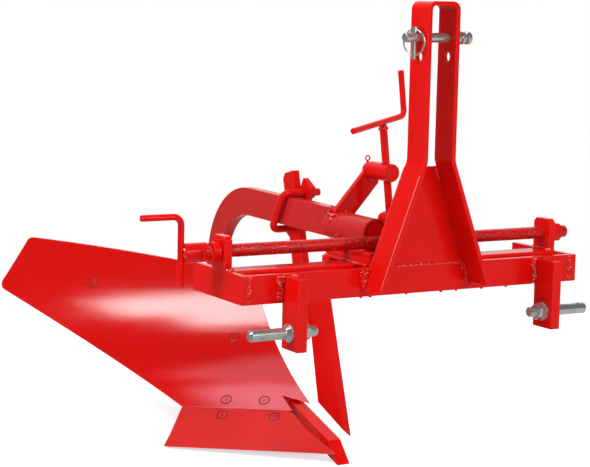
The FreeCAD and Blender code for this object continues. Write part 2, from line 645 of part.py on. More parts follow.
def lateral_screw():
    """Long screw that shifts the carriage sideways."""
    left = -HUB_END + SCREW_IN_HUB
    right = HALF + THRUST_CLEARANCE + END_NUT_HEIGHT + SCREW_TAIL
    radius = SCREW_DIAMETER / 2
    length = right - left
    chamfer = THREAD_CHAMFER
    steps = [(0, radius - chamfer), (chamfer, radius), (length - chamfer, radius), (length, radius - chamfer)]
    screw = turned(steps, screw_point(left), X_AXIS)
    return screw.cut(lock_pin_shank(PIN_HOLE_CLEARANCE))


def lock_pin_shank(slack=0.0):
    """Straight part of the lock pin; slack widens it for its hole."""
    middle = screw_point(-LOCK_PIN_X)
    reach = Y_AXIS * LOCK_PIN_REACH
    return rod(middle - reach, middle + reach, LOCK_PIN_DIAMETER + 2 * slack)


def lock_pin_ring(slack=0.0):
    """Pull ring on the front end of the lock pin."""
    middle = screw_point(-LOCK_PIN_X)
    turn = FreeCAD.Rotation(Z_AXIS, LOCK_RING_TURN).multiply(FreeCAD.Rotation(X_AXIS, LOCK_RING_HANG))
    hole = middle + Y_AXIS * (LOCK_RING_INSET - LOCK_PIN_REACH)
    centre = hole - turn.multVec(Y_AXIS) * LOCK_RING_RADIUS
    return ring(centre, turn.multVec(X_AXIS), LOCK_RING_RADIUS, LOCK_RING_WIRE + 2 * slack)


def lock_pin():
    """Pin through the crank hub and the lateral screw."""
    return lock_pin_shank().cut(lock_pin_ring(SNUG_CLEARANCE))


def screw_collar():
    """Thrust collar of the lateral screw at the furrow-side bearing."""
    start = screw_point(-HALF - THRUST_CLEARANCE)
    step = start - X_AXIS * COLLAR_BOSS_LENGTH
    end = step - X_AXIS * SCREW_COLLAR_LENGTH
    collar = rod(start, step, COLLAR_BOSS_DIAMETER).fuse(rod(step, end, SCREW_COLLAR_DIAMETER))
    return collar.cut(rod(start, end, SCREW_DIAMETER + 2 * SNUG_CLEARANCE))


def crank_hub():
    """Tube that carries the crank on the end of the lateral screw."""
    start = screw_point(HUB_LENGTH - HUB_END)
    end = screw_point(-HUB_END)
    hub = rod(start, end, HUB_DIAMETER)
    hub = hub.cut(rod(start, end, SCREW_DIAMETER + 2 * SNUG_CLEARANCE))
    return hub.cut(lock_pin_shank(PIN_HOLE_CLEARANCE)).cut(crank_handle())


def crank_handle():
    """Round bar across the hub's end, bent to a grip along the screw."""
    x = -HUB_END - CRANK_ROD_DIAMETER / 2 + CRANK_SADDLE
    low = V(x, SCREW_AXIS_Y, SCREW_AXIS_HEIGHT - CRANK_DOWN)
    corner = V(x, SCREW_AXIS_Y, SCREW_AXIS_HEIGHT + CRANK_UP)
    end = corner - X_AXIS * CRANK_GRIP_LENGTH
    return bent_rod([low, corner, end], [CRANK_BEND_RADIUS], CRANK_ROD_DIAMETER)


def screw_end_nut():
    """Nut and locking washer on the land-side end of the lateral screw."""
    start = screw_point(HALF + THRUST_CLEARANCE)
    nut = hexagon(start, X_AXIS * END_NUT_HEIGHT, END_NUT_FLATS, END_NUT_SPIN)
    bore = SCREW_DIAMETER + 2 * SNUG_CLEARANCE
    return nut.cut(rod(start, start + X_AXIS * END_NUT_HEIGHT, bore))


# ================================================================ the carriage
def clamp_bolt_places():
    """Middle of each bolt in the carriage plate: front pair, then rear pair."""
    front = REAR_BAR_FRONT - FLANGE_GAP - FRONT_FLANGE + FRONT_BOLT_INSET
    rear = REAR_BAR_BACK + CLAMP_BOLT_DIAMETER / 2 + REAR_BOLT_SPACE
    sides = (CARRIAGE_FURROW + CLAMP_BOLT_INSET, CARRIAGE_LAND - CLAMP_BOLT_INSET)
    return [V(x, front, 0) for x in sides], [V(x, rear, 0) for x in sides]


def bolt_holes(z0, z1, slack):
    """Holes for the carriage's four bolts between two heights, wider by some slack."""
    holes = []
    for places, diameter in zip(clamp_bolt_places(), (CLAMP_BOLT_DIAMETER, REAR_BOLT_DIAMETER)):
        for place in places:
            holes.append(rod(V(place.x, place.y, z0), V(place.x, place.y, z1), diameter + 2 * slack))
    return Part.makeCompound(holes)


def carriage_plate():
    """Flat plate that rides on the rear bar."""
    plate = box(CARRIAGE_FURROW, CARRIAGE_LAND, CARRIAGE_FRONT, CARRIAGE_FRONT + CARRIAGE_DEPTH,
                PLATE_BOTTOM, PLATE_TOP)
    plate = round_edges(plate, Z_AXIS, CARRIAGE_CORNER)
    return plate.cut(bolt_holes(PLATE_BOTTOM, PLATE_TOP, PIN_HOLE_CLEARANCE))


def carriage_flanges():
    """Two guides under the plate, in front of the rear bar and behind it."""
    inset = CARRIAGE_CORNER / 2
    front_face = REAR_BAR_FRONT - FLANGE_GAP - FRONT_FLANGE
    front = box(CARRIAGE_FURROW + inset, CARRIAGE_LAND - inset, front_face, front_face + FRONT_FLANGE,
                KEEPER_TOP, PLATE_BOTTOM)
    front = front.cut(bolt_holes(PLATE_BOTTOM - FRONT_BOLT_DEPTH, PLATE_BOTTOM, SNUG_CLEARANCE))
    back_face = CARRIAGE_FRONT + CARRIAGE_DEPTH
    rear = box(CARRIAGE_FURROW - REAR_FLANGE_OVERHANG, CARRIAGE_LAND + REAR_FLANGE_OVERHANG,
               back_face - REAR_FLANGE, back_face, KEEPER_TOP, PLATE_BOTTOM)
    return Part.makeCompound([front, round_edges(rear, Z_AXIS, REAR_FLANGE_CORNER)])


def carriage_keeper():
    """Flat bar below the rear bar, joining the two guides."""
    keeper = box(CARRIAGE_FURROW, CARRIAGE_LAND, REAR_BAR_FRONT - FLANGE_GAP - KEEPER_LAP,
                 CARRIAGE_FRONT + CARRIAGE_DEPTH, KEEPER_TOP - KEEPER_THICKNESS, KEEPER_TOP)
    return keeper.cut(bolt_holes(KEEPER_TOP - KEEPER_THICKNESS, KEEPER_TOP, SNUG_CLEARANCE))


def clamp_bolts():
    """Hexagon bolts through the carriage plate into the front guide and the keeper."""
    bolts = []
    front, rear = clamp_bolt_places()
    front_end = PLATE_BOTTOM - FRONT_BOLT_DEPTH
    rear_end = KEEPER_TOP - KEEPER_THICKNESS
    for places, diameter, flats, height, end in (
            (front, CLAMP_BOLT_DIAMETER, CLAMP_BOLT_FLATS, CLAMP_HEAD_HEIGHT, front_end),
            (rear, REAR_BOLT_DIAMETER, REAR_BOLT_FLATS, REAR_HEAD_HEIGHT, rear_end)):
        for place in places:
            top = V(place.x, place.y, PLATE_TOP)
            bolt = rod(V(place.x, place.y, end), top, diameter)
            bolts.append(bolt.fuse(hexagon(top, Z_AXIS * height, flats)))
    return Part.makeCompound(bolts)


def screw_nut_block():
    """Threaded block on the carriage plate that the lateral screw drives."""
    x0 = SLEEVE_AXIS_X + SLEEVE_OUTER_DIAMETER / 2 + NUT_BLOCK_OFFSET
    half = NUT_BLOCK_WIDTH / 2
    block = box(x0, x0 + NUT_BLOCK_LENGTH, SCREW_AXIS_Y - half, SCREW_AXIS_Y + half,
                PLATE_TOP, SCREW_AXIS_HEIGHT + half)
    block = round_edges(block, X_AXIS, EDGE_ROUND)
    bore = SCREW_DIAMETER + 2 * RUNNING_CLEARANCE
    return block.cut(rod(screw_point(x0), screw_point(x0 + NUT_BLOCK_LENGTH), bore))


def sleeve_point(y):
    """Point on the pivot sleeve's axis."""
    return V(SLEEVE_AXIS_X, y, SLEEVE_AXIS_HEIGHT)


def pivot_sleeve():
    """Bearing tube on the carriage in which the beam rolls."""
    sleeve = rod(sleeve_point(SLEEVE_FRONT), sleeve_point(SLEEVE_BACK), SLEEVE_OUTER_DIAMETER)
    bore = PIVOT_SHAFT_DIAMETER + 2 * RUNNING_CLEARANCE
    sleeve = sleeve.cut(rod(sleeve_point(SLEEVE_FRONT), sleeve_point(SLEEVE_BACK), bore))
    room = sleeve_point(SLEEVE_FRONT + RETAINER_ROOM)
    sleeve = sleeve.cut(rod(sleeve_point(SLEEVE_FRONT), room, RETAINER_DIAMETER + 2 * ROLL_CLEARANCE))
    slope = math.radians(GREASE_BOSS_SLOPE)
    out = V(-math.cos(slope), 0, -math.sin(slope))
    stand = PIVOT_SHAFT_DIAMETER / 2 + GREASE_BOSS_STAND
    foot = sleeve_point(SLEEVE_BACK - GREASE_BOSS_INSET) + out * stand
    length = (SLEEVE_OUTER_DIAMETER - PIVOT_SHAFT_DIAMETER) / 2
    return sleeve.fuse(rod(foot, foot + out * length, GREASE_BOSS_DIAMETER)).removeSplitter()


def sleeve_saddle():
    """Block that carries the pivot sleeve on the carriage plate."""
    half = SADDLE_WIDTH / 2
    saddle = box(SLEEVE_AXIS_X - half, SLEEVE_AXIS_X + half, SLEEVE_FRONT + SADDLE_INSET,
                 CARRIAGE_FRONT + CARRIAGE_DEPTH, PLATE_TOP, SADDLE_TOP)
    return saddle.cut(rod(sleeve_point(0), sleeve_point(SLEEVE_BACK), SLEEVE_OUTER_DIAMETER))


def trunnion_point(y):
    """Point on the axis of the roll screw's lower trunnion."""
    return V(TRUNNION_X, y, TRUNNION_HEIGHT)


def trunnion_cheeks():
    """Two ears on the sleeve's land side between which the trunnion swings."""
    ear = TRUNNION_EAR
    reach = TRUNNION_BORE_LENGTH / 2 + RUNNING_GAP
    cheeks = []
    for front in (ROLL_SCREW_Y - reach - TRUNNION_CHEEK, ROLL_SCREW_Y + reach):
        outline = [sleeve_point(front) - Z_AXIS * ear, trunnion_point(front) - Z_AXIS * ear,
                   trunnion_point(front), sleeve_point(front) + Z_AXIS * ear]
        cheek = prism(outline, V(0, TRUNNION_CHEEK, 0))
        cheek = cheek.fuse(rod(trunnion_point(front), trunnion_point(front + TRUNNION_CHEEK), 2 * ear))
        cheek = cheek.cut(rod(sleeve_point(0), sleeve_point(SLEEVE_BACK), SLEEVE_OUTER_DIAMETER))
        bore = SPIGOT_DIAMETER + 2 * RUNNING_CLEARANCE
        cheek = cheek.cut(rod(trunnion_point(front), trunnion_point(front + TRUNNION_CHEEK), bore))
        cheeks.append(cheek.removeSplitter())
    return Part.makeCompound(cheeks)


# ============================================================== the roll screw
def roll_pin_point(y):
    """Point on the axis of the roll arm's cross pin."""
    return V(ROLL_PIN_X, y, ROLL_PIN_HEIGHT)


def roll_screw_direction():
    """Direction of the roll screw, upwards."""
    return (roll_pin_point(0) - trunnion_point(0)).normalize()


def roll_trunnion():
    """Barrel with two spigots that holds the roll screw's lower end."""
    half = TRUNNION_BORE_LENGTH / 2
    reach = half + RUNNING_GAP + TRUNNION_CHEEK + RUNNING_GAP
    barrel = rod(trunnion_point(ROLL_SCREW_Y - half), trunnion_point(ROLL_SCREW_Y + half), TRUNNION_DIAMETER)
    barrel = barrel.fuse(rod(trunnion_point(ROLL_SCREW_Y - reach), trunnion_point(ROLL_SCREW_Y + reach),
                             SPIGOT_DIAMETER))
    centre = trunnion_point(ROLL_SCREW_Y)
    top = centre + roll_screw_direction() * TRUNNION_DIAMETER
    return barrel.cut(rod(centre, top, ROLL_SCREW_DIAMETER + 2 * SNUG_CLEARANCE))


def roll_screw():
    """Leaning screw that tilts the beam through the roll arm."""
    centre = trunnion_point(ROLL_SCREW_Y)
    end = roll_pin_point(ROLL_SCREW_Y) + roll_screw_direction() * ROLL_SCREW_TOP
    return rod(centre, end, ROLL_SCREW_DIAMETER)


def roll_t_handle():
    """Bar across the top of the roll screw with one end bent up as a grip."""
    up = roll_screw_direction()
    middle = roll_pin_point(ROLL_SCREW_Y) + up * (ROLL_SCREW_TOP + T_BAR_DIAMETER / 2)
    turn = FreeCAD.Rotation(up, T_BAR_TURN)
    across = turn.multVec(Y_AXIS.cross(up).normalize())
    start = middle - across * T_BAR_LONG_ARM
    corner = middle + across * T_BAR_SHORT_ARM
    return bent_rod([start, corner, corner + up * T_BAR_GRIP], [T_BAR_BEND], T_BAR_DIAMETER)


# ==================================================== the beam and what it holds
def pivot_shaft():
    """Shaft of the beam, turning in the pivot sleeve."""
    front = SLEEVE_FRONT + ROLL_CLEARANCE
    return rod(sleeve_point(front), sleeve_point(COLLAR_BACK), PIVOT_SHAFT_DIAMETER)


def shaft_retainer():
    """Ring on the shaft's front end, sunk in the sleeve."""
    back = SLEEVE_FRONT + RETAINER_ROOM - ROLL_CLEARANCE
    disc = rod(sleeve_point(back - RETAINER_THICKNESS), sleeve_point(back), RETAINER_DIAMETER)
    bore = PIVOT_SHAFT_DIAMETER + 2 * SNUG_CLEARANCE
    return disc.cut(rod(sleeve_point(back - RETAINER_THICKNESS), sleeve_point(back), bore))


def beam_collar():
    """Collar welded to the beam's front end, round the pivot shaft."""
    front = SLEEVE_BACK + ROLL_CLEARANCE
    collar = rod(sleeve_point(front), sleeve_point(COLLAR_BACK), SLEEVE_OUTER_DIAMETER)
    bore = PIVOT_SHAFT_DIAMETER + 2 * SNUG_CLEARANCE
    return collar.cut(rod(sleeve_point(front), sleeve_point(COLLAR_BACK), bore))


def beam_path():
    """Middle line of the beam: start, corner of the gooseneck and foot."""
    rise = math.radians(BEAM_RISE)
    fall = math.radians(BEAM_TURN - BEAM_RISE)
    start = V(BEAM_FURROW_FACE, COLLAR_BACK - BEAM_THICKNESS, BEAM_MIDDLE_HEIGHT)
    reach = BEAM_BEND_RADIUS * math.tan(math.radians(BEAM_TURN) / 2)
    run = BEAM_BEND_Y - start.y + reach
    corner = start + V(0, math.cos(rise), math.sin(rise)) * run
    foot = corner + V(0, math.cos(fall), -math.sin(fall)) * (reach + BEAM_FOOT_RUN)
    return [start, corner, foot]


def beam():
    """Upright flat bar with its gooseneck bend down to the plough body."""
    bar = bent_flat(beam_path(), [BEAM_BEND_RADIUS], BEAM_HEIGHT, V(BEAM_THICKNESS, 0, 0))
    bar = round_rims(bar, X_AXIS, EDGE_ROUND)
    return bar.cut(box(-BEAM_HEIGHT - BEAM_THICKNESS, BEAM_HEIGHT, 0, COLLAR_BACK, 0, BEAM_TOP + BEAM_HEIGHT))


def roll_arm_outline(y):
    """Corners of the arm's flat bar, without the round of its eye."""
    hub = sleeve_point(y)
    eye = roll_pin_point(y)
    lean = math.radians(ARM_LEAN)
    along = V(math.sin(lean), 0, math.cos(lean))
    across = Y_AXIS.cross(along)
    upper = eye - across * (ARM_WIDTH / 2 - ARM_OFFSET)
    lower = eye + across * (ARM_WIDTH / 2 + ARM_OFFSET)
    cheek = eye + X_AXIS * (ARM_EYE_DIAMETER / 2)
    corner = lower + along * ((cheek.x - lower.x) / along.x)
    slope = math.radians(ARM_TOE_SLOPE)
    toe = hub + V(-math.cos(slope), 0, math.sin(slope)) * (SLEEVE_OUTER_DIAMETER / 2)
    heel = lower + along * (hub - lower).dot(along)
    return [heel, hub, toe, upper - along * ARM_KNEE, upper, cheek, corner]


def roll_arm():
    """Arm welded on the beam collar; its eye holds the cross pin."""
    y = ARM_MIDDLE_Y - ARM_THICKNESS / 2
    eye = roll_pin_point(y)
    depth = V(0, ARM_THICKNESS, 0)
    arm = prism(roll_arm_outline(y), depth).fuse(rod(eye, eye + depth, ARM_EYE_DIAMETER))
    arm = arm.cut(rod(sleeve_point(0), sleeve_point(COLLAR_BACK), SLEEVE_OUTER_DIAMETER))
    arm = arm.cut(rod(eye, eye + depth, ROLL_SPIGOT_DIAMETER + 2 * RUNNING_CLEARANCE))
    return arm.removeSplitter()


def roll_pin():
    """Cross pin in the roll arm, threaded for the roll screw."""
    arm_front = ARM_MIDDLE_Y - ARM_THICKNESS / 2 - FIT_GAP
    body = rod(roll_pin_point(arm_front - ROLL_PIN_LENGTH), roll_pin_point(arm_front), ROLL_PIN_DIAMETER)
    back = arm_front + ROLL_SPIGOT_LENGTH
    body = body.fuse(rod(roll_pin_point(arm_front), roll_pin_point(back), ROLL_SPIGOT_DIAMETER))
    reach = roll_screw_direction() * ROLL_PIN_DIAMETER
    centre = roll_pin_point(ROLL_SCREW_Y)
    bore = ROLL_SCREW_DIAMETER + 2 * ROLL_SCREW_BORE_CLEARANCE
    body = body.cut(rod(centre - reach, centre + reach, bore))
    return body.cut(split_pin_shank(PIN_HOLE_CLEARANCE))


def split_pin_centre():
    """Where the split pin crosses the cross pin's axis."""
    arm_front = ARM_MIDDLE_Y - ARM_THICKNESS / 2 - FIT_GAP
    return roll_pin_point(arm_front + ROLL_SPIGOT_LENGTH - SPLIT_PIN_INSET)


def split_pin_shank(slack=0.0):
    """The split pin's two legs as one rod; slack widens it for its hole."""
    centre = split_pin_centre()
    top = centre + Z_AXIS * (SPLIT_PIN_EYE_HEIGHT - SPLIT_PIN_EYE_RADIUS)
    return rod(centre - Z_AXIS * SPLIT_PIN_LEG, top, SPLIT_PIN_DIAMETER + 2 * slack)


def split_pin():
    """Split pin with its eye, through the cross pin's rear end."""
    eye = split_pin_centre() + Z_AXIS * SPLIT_PIN_EYE_HEIGHT
    loop = ring(eye, Y_AXIS, SPLIT_PIN_EYE_RADIUS, SPLIT_PIN_WIRE)
    return split_pin_shank().fuse(loop).removeSplitter()


def coulter_frame(x):
    """Placement of the coulter's own axes: its shank's middle line meets the beam's middle."""
    turn = FreeCAD.Rotation(X_AXIS, -COULTER_RAKE)
    return FreeCAD.Placement(V(x, COULTER_AT_BEAM_Y, BEAM_MIDDLE_HEIGHT), turn)


def coulter():
    """Knife coulter: an upright flat shank with a forged blade in front of its foot."""
    half = COULTER_SHANK_DEPTH / 2
    top = (COULTER_TOP - BEAM_MIDDLE_HEIGHT) / math.cos(math.radians(COULTER_RAKE))
    foot = top - COULTER_SHANK_LENGTH
    chamfer = COULTER_TOP_CHAMFER
    side = [V(0, -half, foot), V(0, half, foot), V(0, half, top - chamfer),
            V(0, half - chamfer, top), V(0, -half, top)]
    shank = prism(side, V(COULTER_SHANK_THICKNESS, 0, 0))
    shank.Placement = coulter_frame(BEAM_LAND_FACE)
    corners = [V(0, y, z) for y, z in COULTER_BLADE_CORNERS]
    blade = prism(corners, V(COULTER_BLADE_THICKNESS, 0, 0))
    for ground in coulter_grinding(corners[1], corners[2]):
        blade = blade.cut(ground)
    blade.translate(V(BEAM_LAND_FACE + (COULTER_SHANK_THICKNESS - COULTER_BLADE_THICKNESS) / 2, 0, 0))
    return shank.fuse(blade).removeSplitter()


def coulter_grinding(upper, lower):
    """What is ground off both sides of the blade in front of its cutting edge."""
    down = (lower - upper).normalize()
    inward = X_AXIS.cross(down)
    middle = COULTER_BLADE_THICKNESS / 2
    slope = (middle - COULTER_EDGE / 2) / COULTER_GROUND_WIDTH
    over = COULTER_BLADE_THICKNESS
    long = (lower - upper).Length + 2 * over
    wedges = []
    for side in (-1.0, 1.0):
        outline = []
        for back, out in ((-over, COULTER_EDGE / 2 - slope * over), (-over, middle + over),
                          (COULTER_GROUND_WIDTH + over / slope, middle + over)):
            outline.append(upper - down * over + inward * back + X_AXIS * (middle + side * out))
        wedges.append(prism(outline, down * long))
    return wedges


def u_bolt_ends():
    """Where the U-bolt's upper and lower legs cross the beam, in the plane x = 0."""
    leg = U_BOLT_DIAMETER / 2
    rise = math.tan(math.radians(BEAM_RISE)) * (COULTER_AT_BEAM_Y - COLLAR_BACK)
    upper = V(0, U_BOLT_UPPER_Y, BEAM_TOP + rise + leg + EDGE_ROUND / 2)
    lower = V(0, U_BOLT_LOWER_Y, BEAM_TOP - BEAM_HEIGHT + rise - leg - U_BOLT_LOWER_GAP)
    return upper, lower


def coulter_u_bolt():
    """U-bolt round the beam that holds the coulter shank."""
    upper, lower = u_bolt_ends()
    near = X_AXIS * (BEAM_FURROW_FACE - U_BOLT_DIAMETER / 2 - U_BOLT_SIDE_GAP)
    far = X_AXIS * (BEAM_LAND_FACE + COULTER_SHANK_THICKNESS + U_BOLT_REACH)
    points = [upper + far, upper + near, lower + near, lower + far]
    return bent_rod(points, [U_BOLT_BEND, U_BOLT_BEND], U_BOLT_DIAMETER)


def coulter_clamp_plate():
    """Plate on the land side of the coulter shank, drilled for the U-bolt."""
    upper, lower = u_bolt_ends()
    x0 = BEAM_LAND_FACE + COULTER_SHANK_THICKNESS
    along = (upper - lower).normalize()
    across = X_AXIS.cross(along).normalize() * (CLAMP_PLATE_WIDTH / 2)
    middle = (upper + lower) * 0.5 + X_AXIS * x0
    reach = along * (CLAMP_PLATE_LENGTH / 2)
    outline = [middle - reach - across, middle - reach + across,
               middle + reach + across, middle + reach - across]
    depth = X_AXIS * CLAMP_PLATE_THICKNESS
    plate = round_edges(prism(outline, depth), X_AXIS, CLAMP_PLATE_CORNER)
    for place in (upper, lower):
        start = place + X_AXIS * x0
        plate = plate.cut(rod(start, start + depth, U_BOLT_DIAMETER + 2 * PIN_HOLE_CLEARANCE))
    return plate


def coulter_clamp_nuts():
    """Nuts on the U-bolt."""
    nuts = []
    x0 = BEAM_LAND_FACE + COULTER_SHANK_THICKNESS + CLAMP_PLATE_THICKNESS
    for place in u_bolt_ends():
        start = place + X_AXIS * x0
        nut = hexagon(start, X_AXIS * U_NUT_HEIGHT, U_NUT_FLATS)
        bore = U_BOLT_DIAMETER + 2 * SNUG_CLEARANCE
        nuts.append(nut.cut(rod(start, start + X_AXIS * U_NUT_HEIGHT, bore)))
    return Part.makeCompound(nuts)


# ============================================================ the plough body
def body_frame():
    """Placement of the share's own axes: x towards the land side, y back, z up."""
    turn = FreeCAD.Rotation(Z_AXIS, SHARE_ANGLE - 90).multiply(FreeCAD.Rotation(Y_AXIS, -BODY_ROLL))
    return FreeCAD.Placement(SHARE_TIP, turn)


def in_body(solid):
    """Move a solid laid out in the share's own axes to its place."""
    moved = solid.copy()
    moved.Placement = body_frame().multiply(solid.Placement)
    return moved


def board_point(along, up):
    """Point on the mouldboard's or share's front face, and its outward normal."""
    if up > SHARE_RISE:
        slope = math.acos((BOARD_AXIS_W - up) / BOARD_RADIUS)
        back = BOARD_AXIS_U + BOARD_RADIUS * math.sin(slope)
    else:
        slope = math.radians(SHARE_PITCH)
        back = up / math.tan(slope)
    placement = body_frame()
    place = placement.multVec(V(-along, back, up))
    normal = placement.Rotation.multVec(V(0, -math.sin(slope), math.cos(slope)))
    return place, normal


def board_cylinder(depth):
    """Solid of everything in front of the face that lies depth behind the mouldboard's front."""
    start = V(-BODY_SPAN, BOARD_AXIS_U, BOARD_AXIS_W)
    return in_body(Part.makeCylinder(BOARD_RADIUS + depth, 2 * BODY_SPAN, start, X_AXIS))


def share_front(depth):
    """Solid of everything in front of the plane that lies depth behind the share's face."""
    slope = math.radians(SHARE_PITCH)
    drop = depth / math.sin(slope)
    low = -SHARE_RISE
    high = SHARE_RISE
    outline = [V(-BODY_SPAN, low / math.tan(slope) + drop, low)]
    outline.append(V(-BODY_SPAN, high / math.tan(slope) + drop, high))
    outline += [V(-BODY_SPAN, -BODY_SPAN, high), V(-BODY_SPAN, -BODY_SPAN, low)]
    return in_body(prism(outline, V(2 * BODY_SPAN, 0, 0)))


def land_half(x):
    """Everything on the land side of one upright plane."""
    return box(x, x + BODY_SPAN, -BODY_SPAN, 2 * BODY_SPAN, -BODY_SPAN, BODY_SPAN)


def point_bar(start, length, gap=0.0):
    """Square bar along the bar point's axis, widened all round by a gap."""
    size = POINT_SIZE + 2 * gap
    bar = Part.makeBox(size, length, size, V(0, 0, 0))
    bar.translate(V(-size / 2, start, -size / 2))
    middle = V((POINT_LAND_FACE + POINT_FURROW_FACE) / 2, POINT_TIP_Y, 0)
    lift = POINT_SIZE / 2 / math.cos(math.radians(POINT_PITCH))
    middle.z = GROUND + lift
    bar.Placement = FreeCAD.Placement(middle, FreeCAD.Rotation(X_AXIS, POINT_PITCH)).multiply(bar.Placement)
    return bar


def bar_point():
    """Square point bar through the frog, its nose ground to a chisel."""
    bar = point_bar(-POINT_SIZE, POINT_LENGTH + POINT_SIZE)
    lean = math.tan(math.radians(POINT_BEVEL))
    x0 = POINT_FURROW_FACE - FIT_GAP
    rise = 2 * POINT_SIZE
    ahead = POINT_TIP_Y - 3 * rise
    outline = [V(x0, POINT_TIP_Y - rise / lean, GROUND - rise),
               V(x0, POINT_TIP_Y + rise / lean, GROUND + rise),
               V(x0, ahead, GROUND + rise),
               V(x0, ahead, GROUND - rise)]
    nose = prism(outline, V(POINT_SIZE + 2 * FIT_GAP, 0, 0))
    return bar.cut(nose)


def bolt_places(marks):
    """Places and normals on the front faces for a list of bolt marks."""
    return [board_point(along, up) for along, up in marks]


def plough_bolt(place, normal, grip):
    """Countersunk plough bolt with its nut behind the plates it holds."""
    head = PLOUGH_BOLT_HEAD / 2
    shank = PLOUGH_BOLT_DIAMETER / 2
    sink = head - shank
    back = -normal
    seat = grip + NUT_SEAT_GAP
    steps = [(0, head), (sink, shank), (seat + PLOUGH_NUT_HEIGHT + PLOUGH_BOLT_TAIL, shank)]
    bolt = turned(steps, place, back)
    nut = hexagon(place + back * seat, back * PLOUGH_NUT_HEIGHT, PLOUGH_NUT_FLATS)
    return bolt.fuse(nut)


def plough_bolt_hole(place, normal):
    """Countersunk clearance hole for a plough bolt."""
    head = PLOUGH_BOLT_HEAD / 2 + COUNTERSINK_GAP
    hole = PLOUGH_BOLT_DIAMETER / 2 + PIN_HOLE_CLEARANCE
    steps = [(-head, 2 * head), (head - hole, hole), (BODY_SPAN / 10, hole)]
    return turned(steps, place, -normal)


def drilled(solid, marks):
    """A plate with the countersunk holes for its plough bolts."""
    for place, normal in bolt_places(marks):
        solid = solid.cut(plough_bolt_hole(place, normal))
    return solid


def mouldboard():
    """Cylindrical mouldboard: a rolled plate trimmed at shin, top, wing and sole."""
    inner = Part.makeCylinder(BOARD_RADIUS, 2 * BODY_SPAN, V(-BODY_SPAN, BOARD_AXIS_U, BOARD_AXIS_W), X_AXIS)
    outer = Part.makeCylinder(BOARD_RADIUS + BOARD_THICKNESS, 2 * BODY_SPAN,
                              V(-BODY_SPAN, BOARD_AXIS_U, BOARD_AXIS_W), X_AXIS)
    start = [V(-along, 0, up) for along, up in BOARD_TOP]
    wing = V(-BOARD_WING[0], 0, BOARD_WING[1])
    sole = [V(-along, 0, up) for along, up in BOARD_SOLE]
    joint, notch, shin = [V(-along, 0, up) for along, up in BOARD_NOTCH]
    edges = [Part.makeLine(joint, notch), Part.makeLine(notch, shin)]
    edges.append(Part.makeLine(shin, start[0]))
    edges.append(Part.makeLine(start[0], start[1]))
    edges.append(Part.Arc(start[1], start[2], start[3]).toShape())
    edges.append(Part.makeLine(start[3], wing))
    edges.append(Part.Arc(wing, sole[0], sole[1]).toShape())
    edges.append(Part.makeLine(sole[1], joint))
    blank = Part.Face(Part.Wire(edges)).extrude(V(0, BOARD_RADIUS, 0))
    corners = []
    for edge in blank.Edges:
        middle = edge.CenterOfMass
        near = min(middle.sub(V(p.x, middle.y, p.z)).Length for p in (start[3], wing))
        if near < FIT_GAP:
            corners.append(edge)
    blank = blank.makeFillet(BOARD_CORNER, corners)
    board = in_body(blank.common(outer.cut(inner)))
    board = board.cut(land_half(SHIN_X - SHIN_INSET)).cut(point_bar(0, POINT_LENGTH, POINT_NOTCH_GAP))
    board = largest(board)
    return drilled(board, PLATE_BOLTS + [WING_BOLT])


def share():
    """Flat share below the mouldboard, trimmed beside the bar point."""
    slope = math.radians(SHARE_PITCH)
    drop = SHARE_THICKNESS / math.sin(slope)
    top = SHARE_RISE - JOINT_GAP
    bevel = SHARE_BEVEL
    profile = [V(0, bevel * SHARE_EDGE_LAND, 0), V(0, drop, 0), V(0, top / math.tan(slope) + drop, top),
               V(0, top / math.tan(slope), top), V(0, bevel / math.tan(slope), bevel)]
    plate = prism([p - V(BODY_SPAN, 0, 0) for p in profile], V(BODY_SPAN, 0, 0))
    ends = [V(-along, 0, up) for along, up in SHARE_WING_END]
    nose = [V(-along, 0, up) for along, up in SHARE_NOSE]
    outline = [V(0, 0, -FIT_GAP), V(ends[0].x, 0, -FIT_GAP)] + ends + nose
    plate = in_body(plate.common(prism(outline, V(0, BOARD_RADIUS, 0))))
    plate = plate.cut(land_half(POINT_FURROW_FACE - FIT_GAP))
    return drilled(plate, SHARE_BOLTS)


def largest(shape):
    """The largest solid of a shape that a cut has split."""
    return max(shape.Solids, key=lambda solid: solid.Volume)


def landside():
    """Long flat bar that runs against the furrow wall."""
    height = GROUND + LANDSIDE_HEIGHT
    heel = LANDSIDE_HEEL
    start = SHIN_X - LANDSIDE_THICKNESS
    outline = []
    for y, z in ((LANDSIDE_FRONT, GROUND), (LANDSIDE_REAR - heel, GROUND), (LANDSIDE_REAR, GROUND + heel),
                 (LANDSIDE_REAR, height - heel), (LANDSIDE_REAR - heel, height), (LANDSIDE_FRONT, height)):
        outline.append(V(start, y, z))
    bar = prism(outline, V(LANDSIDE_THICKNESS, 0, 0))
    bar = bar.cut(point_bar(-POINT_LENGTH, 3 * POINT_LENGTH, FIT_GAP))
    bar = bar.cut(point_bar(SOCKET_FRONT - FIT_GAP, SOCKET_LENGTH + 2 * FIT_GAP, SOCKET_WALL + 2 * FIT_GAP))
    bar = largest(bar.cut(share_front(SHARE_THICKNESS + FIT_GAP)))
    for place, normal in landside_bolt_places():
        bar = bar.cut(plough_bolt_hole(place, normal))
    return bar


def landside_bolt_places():
    """Places and normals of the bolts that hold the landside to the frog's web."""
    return [(V(SHIN_X, y, GROUND + LANDSIDE_BOLT_LIFT), V(1, 0, 0)) for y in LANDSIDE_BOLTS]


def frog_faces():
    """What lies in front of the back faces of mouldboard and share, to trim the frog."""
    upper = board_cylinder(BOARD_THICKNESS)
    lower = share_front(SHARE_THICKNESS)
    return Part.makeCompound([upper, lower])


